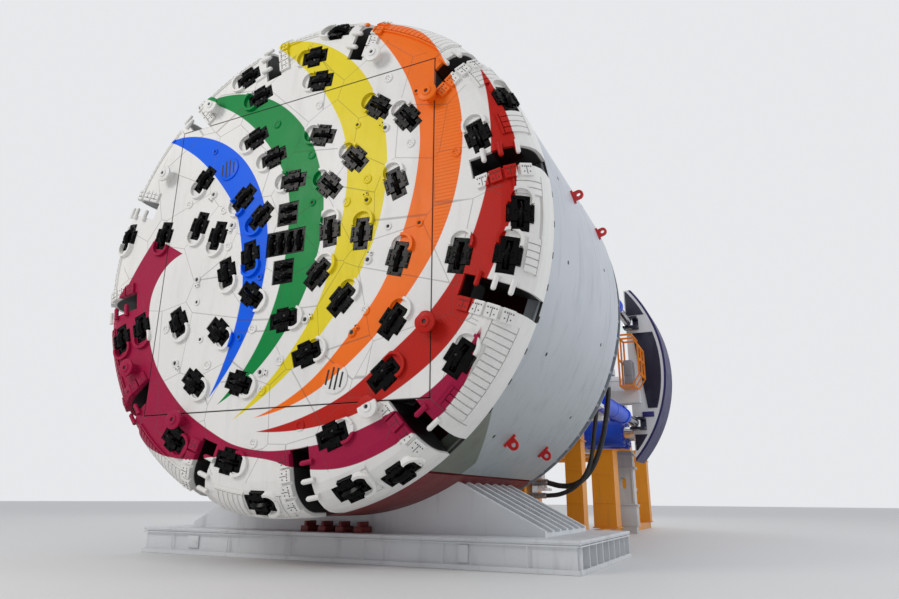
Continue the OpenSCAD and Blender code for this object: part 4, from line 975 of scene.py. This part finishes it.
chrome = by_node["grip_rods_left"]
blue = by_node["gripper_cylinders"]
plate_blue = painted("blank_plate_look", shade(0.16, 0.14, 0.44), 0.45, 0.2)
for side, name in ((-1, "left"), (1, "right")):
    panels = Solids()
    for inner in (((3.28, 2.56), (3.28, 3.06)), ((3.75, 3.88), (3.43, 6.38)), ((3.28, 7.00), (3.28, 7.85))):
        shoe_panel(panels, side, inner)
    for z in (3.0, 4.2, 5.0, 5.8, 6.3, 7.1):
        panels.bolt(facing(side * (arc_x(z) - 0.10), SHOE_FRONT - 0.022, z, "-y"), 0.028, 0.018)
    for z in PROPEL_ZS:
        panels.box(at(side * 3.43, SHOE_FRONT - 0.024, z), (0.46, 0.046, 0.38), 0.004)
    panels.piece("shoe_panels_" + name, name + "_shoe", shoe_paint, "frame_white")
    pins = Solids()
    for z in PROPEL_ZS:
        for direction, k in (("+z", 1), ("-z", -1)):
            cap = facing(side * PROPEL_X, EYE_Y, z + k * 0.187, direction)
            pins.rod(cap, 0.105, 0.036, 28, bevel=0.008)
            for b in range(3):
                pins.bolt(cap @ spun(120 * b) @ at(0.06, 0, 0.035), 0.016, 0.014)
    pins.piece("clevis_pins_" + name, name + "_shoe", steel, "chrome_rod")
    sign = Solids()
    sign.box(at(side * 3.74, SHOE_FRONT - 0.008, 3.685), (0.36, 0.018, 0.17), 0.005)
    sign.piece("blank_plate_" + name, name + "_shoe", plate_blue, "shoe_skin_paint")
    barrels = Solids()
    for z in PROPEL_ZS:
        x = side * PROPEL_X
        along = frame_of(RIGHTWARDS, DOWNWARDS, REARWARDS, (x, BARREL_Y, z))
        for start, radius, long in ((0.04, 0.226, 0.10), (1.60, 0.218, 0.06), (3.06, 0.236, 0.24)):
            barrels.turned(along @ at(0, 0, start), collar(0.205, radius, 0.0, long), steps=40)
        for k in range(12):
            barrels.bolt(along @ spun(30 * k + 15) @ at(0.19, 0, 3.30), 0.016, 0.016)
        for start in (0.36, 2.90):
            barrels.box(at(x, BARREL_Y + start, z + 0.225), (0.11, 0.13, 0.07), 0.01)
            barrels.rod(at(x, BARREL_Y + start, z + 0.255), 0.028, 0.035, 16)
        barrels.rod(along @ at(0.05, -0.238, 0.40), 0.014, 2.46, 12)
    barrels.piece("propel_details_" + name, name + "_barrels", blue, "cylinder_blue")
flanges, sleeves = Solids(), Solids()
for side, direction in ((-1, "-x"), (1, "+x")):
    for y in GRIP_YS:
        outside = facing(side * GRIP_REACH, y, GRIP_Z, direction)
        flanges.turned(outside @ at(0, 0, -1.10), collar(0.426, 0.444, 0.0, 0.05), steps=48)
        gland = [(0.215, -0.002), (0.27, -0.002), (0.27, 0.022), (0.25, 0.03), (0.215, 0.03)]
        flanges.turned(outside, gland, steps=40)
        for k in range(18):
            flanges.bolt(outside @ spun(20 * k) @ at(0.385, 0, 0), 0.026, 0.024)
        stub = at(side * STUB_X, y, STUB_Z)
        sleeves.turned(stub, collar(0.168, 0.174, 0.0, 0.30), steps=40)
        flanges.box(stub @ at(0, 0, 0.385), (0.36, 0.36, 0.11), 0.02)
        for k in range(4):
            flanges.bolt(stub @ at((k % 2 - 0.5) * 0.25, (k // 2 - 0.5) * 0.25, 0.438), 0.022, 0.02)
flanges.piece("gripper_flanges", "carrier", blue, "cylinder_blue")
sleeves.piece("stub_sleeves", "carrier", chrome, "chrome_rod")

# %% [markdown]
# ## Stands, legs and plinth
# Base plates and head plates are bolted to the stands' columns, the grey legs have two
# flanges and a wider pedestal, and the plinth has rails and two small doors. These are thin
# boxes a little proud of the CAD model's faces, with a bevel that catches the light, because
# a flat box with sharp edges would look like paper.

# %% Stands, legs and plinth
stand_bits, leg_bits, plinth_bits, feet = Solids(), Solids(), Solids(), Solids()
# distance from the centre plane, Y, side, foot height, top height
COLUMNS = [(1.56, 3.40, 0.62, 0.0, 3.5), (2.30, 6.10, 0.45, 0.22, 2.6), (2.30, 9.70, 0.70, 0.22, 2.58),
    (2.30, 13.30, 0.46, 0.22, 2.6), (2.30, 16.65, 0.46, 0.22, 2.6)]
# Eight bolts round a square plate
ROUND_ABOUT = [(-1, -1), (-1, 0), (-1, 1), (0, 1), (1, 1), (1, 0), (1, -1), (0, -1)]
for side in (-1, 1):
    for x, y, wide, foot, top in COLUMNS:
        for z in (foot + 0.016, top - 0.02):
            stand_bits.box(at(side * x, y, z), (wide + 0.08, wide + 0.078, 0.03), 0.004)
        reach_out = wide / 2 + 0.02
        for a, b in ROUND_ABOUT:
            stand_bits.bolt(at(side * x + a * reach_out, y + b * reach_out, foot + 0.031), 0.013, 0.014)
        for z in (0.75, 1.6):
            stiffener = at(side * x, y - wide / 2 - 0.004, foot + z)
            stand_bits.box(stiffener, (wide * 0.8, 0.012, 0.05), 0.003, 1)
    for y in (6.10, 13.30, 16.65):
        for x in (0.45, 0.95, 1.45, 1.95):
            for face in (-0.24, 0.24):
                stand_bits.box(at(side * x, y + face, 2.81), (0.025, 0.03, 0.40), 0.003, 1)
    x, y = side * 2.56, 11.4
    leg_bits.box(at(x, y, 0.53), (0.78, 0.45, 0.60), 0.012)
    for z in (0.85, 0.90, 2.06, 2.10):
        leg_bits.box(at(x, y, z), (0.84, 0.46, 0.04), 0.005)
    for z in (0.92, 2.12):
        for k in range(5):
            for end in (-0.21, 0.21):
                leg_bits.bolt(at(x + (k - 2) * 0.17, y + end, z), 0.014, 0.02)
    for k in (-1, 1):
        leg_bits.box(at(x + k * 0.30, y - 0.212, 1.48), (0.03, 0.03, 1.0), 0.004, 1)
for z, high in ((0.035, 0.07), (0.385, 0.02), (0.445, 0.03)):
    for face in (-1.905, 1.905):
        plinth_bits.box(at(0, face, z), (8.78, 0.014, high), 0.003, 1)
    for face in (-4.405, 4.405):
        plinth_bits.box(at(face, 0, z), (0.014, 3.78, high), 0.003, 1)
for x, z, wide, high in ((-3.08, 0.23, 0.26, 0.22), (2.54, 0.23, 0.18, 0.26)):
    plinth_bits.box(at(x, -1.852, z), (wide, 0.05, high), 0.006)
    plinth_bits.rod(facing(x + wide * 0.3, -1.877, z, "-y"), 0.012, 0.014, 14)
for x in (-3.6, -2.2, -0.75, 0.75, 2.2, 3.6):
    plinth_bits.box(at(x, -1.905, 0.21), (0.02, 0.012, 0.33), 0.003, 1)
for side in (-1, 1):
    for k in range(6):
        for x in (3.45, 3.62):
            plinth_bits.bolt(at(side * x, -1.04 + 0.415 * k, 0.531), 0.022, 0.02)
for x in (-0.62, -0.25, 0.12, 0.50):
    feet.box(at(x, -1.55, 0.52), (0.16, 0.34, 0.10), 0.01)
    feet.box(at(x, -1.55, 0.60), (0.05, 0.30, 0.10), 0.008)
stand_bits.piece("stand_plates", "machine", by_node["stands"], "stand_orange")
leg_bits.piece("leg_flanges", "machine", by_node["carrier_stands"], "plinth_white")
plinth_bits.piece("plinth_rails", "machine", by_node["plinth"], "plinth_white")
feet.piece("plinth_feet", "machine", by_node["shield_bottom"], "primer_red")

# %% [markdown]
# ## Frame, decks and drives
# Gratings and toe boards lie on the decks. The beam carries ribs, pipes and an end frame, the
# yoke valve blocks, and the motors cooling rings and boxes. A grating could be a texture with
# holes, but real bars keep their thickness in the light, and there are few of them.

# %% Frame, decks and drives
grating, boards, frame_bits, pipes, motors, valves, cabinets = [Solids() for k in range(7)]
# Where the decks begin and end, and the height of their tops
DECKS, DECK_TOP = ((6.3, 7.5), (13.9, 14.95)), 4.9
for side in (-1, 1):
    for y0, y1 in DECKS:
        long, middle = y1 - y0, (y0 + y1) / 2
        for k in range(28):
            bar = at(side * (1.22 + 0.0608 * k), middle, DECK_TOP + 0.006)
            grating.box(bar, (0.012, long - 0.04, 0.014))
        for k in range(11):
            bar = at(side * 2.045, y0 + 0.05 + k * (long - 0.1) / 10, DECK_TOP + 0.003)
            grating.box(bar, (1.66, 0.010, 0.008))
        boards.box(at(side * 2.90, middle, DECK_TOP + 0.06), (0.012, long - 0.02, 0.12), 0.003, 1)
    for y in (4.6, 5.0, 5.9, 6.8, 7.4):
        frame_bits.box(at(side * 1.016, y, 5.5), (0.034, 0.03, 1.4 if y > 4.9 else 1.0), 0.004, 1)
    for k, z in enumerate((5.10, 5.19, 5.28)):
        for y0, y1 in ((4.45, 7.95), (12.6, 14.9)):
            start = frame_of(RIGHTWARDS, DOWNWARDS, REARWARDS, (side * 1.055, y0, z))
            pipes.rod(start, 0.022, y1 - y0, 14)
    for y in (4.8, 5.6, 6.4, 7.2, 12.9, 13.7, 14.5):
        frame_bits.box(at(side * 1.03, y, 5.19), (0.06, 0.05, 0.30), 0.005, 1)
    for z in (4.75, 5.05, 5.35, 5.65, 5.95, 6.2):
        frame_bits.bolt(facing(side * 0.955, 17.0, z, "+y"), 0.024, 0.022)
    for x in (0.15, 0.45, 0.75):
        frame_bits.bolt(facing(side * x, 17.0, 6.255, "+y"), 0.024, 0.022)
        frame_bits.bolt(facing(side * x, 17.0, 4.145, "+y"), 0.024, 0.022)
    for z in PROPEL_ZS:
        for k in (-1, 1):
            pin = at(side * PROPEL_X, PIN_Y, z + k * 0.2165)
            frame_bits.turned(pin, collar(0.088, 0.14, -0.008, 0.008), steps=32)
            for b in range(4):
                frame_bits.rod(pin @ spun(90 * b + 45) @ at(0.115, 0, -0.018), 0.014, 0.036, 6)
    for z in (4.75, 5.3, 5.85):
        valves.box(at(side * 2.62, 4.33, z), (0.44, 0.16, 0.30), 0.012)
        for k in range(3):
            valves.rod(facing(side * 2.62 + (k - 1) * 0.13, 4.41, z, "+y"), 0.042, 0.12, 20, bevel=0.008)
    cabinets.box(at(side * 3.36, 9.30, 4.87), (0.26, 0.52, 0.86), 0.012)
    cabinets.box(at(side * 3.36, 9.03, 5.02), (0.20, 0.02, 0.42), 0.006)
MOTOR_COUNT, MOTOR_RING = 10, 3.0
FIN = [(0.306, 0.0), (0.328, 0.004), (0.328, 0.018), (0.306, 0.022)]
for i in range(MOTOR_COUNT):
    out, along = spokes(math.radians(108 + 360 / MOTOR_COUNT * i))
    base = frame_of(out, -along, REARWARDS, Vector((0, 0, AXIS_Z)) + out * MOTOR_RING)
    for k in range(12):
        motors.bolt(base @ spun(30 * k) @ at(0.350, 0, -1.031), 0.018, 0.018)
    for k in range(9):
        motors.turned(base @ at(0, 0, -0.90 + 0.07 * k), FIN, steps=28)
    motors.box(base @ at(0.345, 0, -0.14), (0.12, 0.24, 0.26), 0.012)
grating.piece("deck_gratings", "machine", by_node["decks"], "deck_grey")
boards.piece("toe_boards", "machine", by_node["handrails"], "machine_orange")
frame_bits.piece("frame_details", "machine", by_node["main_beam"], "frame_white")
pipes.piece("beam_pipes", "machine", steel, "fitting_steel")
motors.piece("motor_details", "machine", by_node["drive_motors"], "cylinder_blue")
valves.piece("yoke_valves", "machine", bare, "fitting_steel")
cabinets.piece("cage_cabinets", "carrier", by_node["erector_track"], "deck_grey")

# %% [markdown]
# ## Rear and top details
# The photograph doesn't show the rear, so only what such machines have goes there: frames
# round the beam's hatches, ribs on the gripper carrier, collars on the rear legs' sleeves,
# bolted feet, bearings of the belt's end drum, and the drills' chucks. They are boxes, plates
# and rods, because nothing here is curved in two ways.

# %% Rear and top details
top_bits, cheeks = Solids(), Solids()
# The middles of the beam's hatches
HATCHES = (0.4, 6.7, 13.2, 15.0)
for y in HATCHES:
    for side in (-1, 1):
        top_bits.box(at(side * 0.55, y, 6.315), (0.07, 1.06, 0.04), 0.005, 1)
        top_bits.box(at(0, y + side * 0.50, 6.315), (1.02, 0.06, 0.04), 0.005, 1)
        for k in range(6):
            top_bits.bolt(at(side * 0.55, y - 0.45 + 0.18 * k, 6.334), 0.014, 0.012)
# The middle of a rear leg's sleeve, and the middle of the drills
LEG_X, LEG_Y, DRILL_Y = 1.75, 15.4, 6.01
for side in (-1, 1):
    outwards = "+x" if side > 0 else "-x"
    for y in (9.98, 10.75, 11.52):
        cheeks.box(at(side * 1.515, y, 5.0), (0.09, 0.035, 2.1), 0.006, 1)
    for z in (4.05, 5.0, 5.95):
        cheeks.box(at(side * 1.505, 10.75, z), (0.06, 1.7, 0.035), 0.006, 1)
    for k in range(8):
        for z in (3.85, 6.08):
            cheeks.bolt(facing(side * 1.476, 9.95 + 0.229 * k, z, outwards), 0.022, 0.022)
    for z in (4.16, 5.74):
        for k in (-1, 1):
            top_bits.box(at(side * LEG_X + k * 0.345, LEG_Y, z), (0.03, 0.72, 0.10), 0.005, 1)
            top_bits.box(at(side * LEG_X, LEG_Y + k * 0.345, z), (0.66, 0.03, 0.10), 0.005, 1)
    for k in range(5):
        top_bits.bolt(facing(side * LEG_X + (k - 2) * 0.14, LEG_Y + 0.36, 5.74, "+y"), 0.016, 0.014)
    top_bits.box(at(side * 0.63, 17.9, 4.96), (0.06, 0.24, 0.24), 0.012)
    top_bits.rod(facing(side * 0.66, 17.9, 4.96, outwards), 0.08, 0.04, 28, bevel=0.008)
    for k in (-1, 1):
        top_bits.bolt(facing(side * 0.66, 17.9 + k * 0.09, 4.96, outwards), 0.016, 0.014)
top_bits.piece("rear_details", "machine", by_node["main_beam"], "frame_white")
cheeks.piece("carrier_ribs", "carrier", by_node["gripper_carrier"], "frame_white")
for side, name in ((-1, "left"), (1, "right")):
    foot = Solids()
    for k in range(4):
        base = at(side * LEG_X, LEG_Y, 1.5) @ spun(90 * k)
        foot.plate(base @ facing(0.24, 0.012, 0, "-y"), [(0, 0), (0.18, 0), (0, 0.34)], 0.024)
        foot.bolt(base @ at(0.37, 0.37, 0), 0.026, 0.024)
        foot.bolt(base @ at(0.37, -0.12, 0), 0.026, 0.024)
    foot.box(at(side * LEG_X, LEG_Y, 1.52), (0.54, 0.54, 0.04), 0.006, 1)
    foot.piece("leg_feet_" + name, name + "_leg", by_node["rear_leg_left"], "frame_white")
    chuck = Solids()
    angle = 58 if side > 0 else 122
    for start, radius, long in ((3.45, 0.075, 0.10), (3.56, 0.055, 0.05), (4.02, 0.040, 0.05)):
        chuck.rod(on_drum(start, angle, DRILL_Y), radius, long, 24, bevel=0.006)
    for start in (2.85, 3.05, 3.25):
        for k in (-0.08, 0.08):
            head = on_drum(start, angle, 5.902) @ at(k, 0, 0) @ Matrix.Rotation(math.radians(90), 4, "X")
            chuck.bolt(head, 0.018, 0.016)
    for k in (-0.163, 0.163):
        chuck.box(on_drum(3.08, angle, DRILL_Y) @ at(k, 0, 0), (0.03, 0.12, 0.66), 0.006, 1)
    chuck.piece("drill_chuck_" + name, name + "_drill", bare, "fitting_steel")
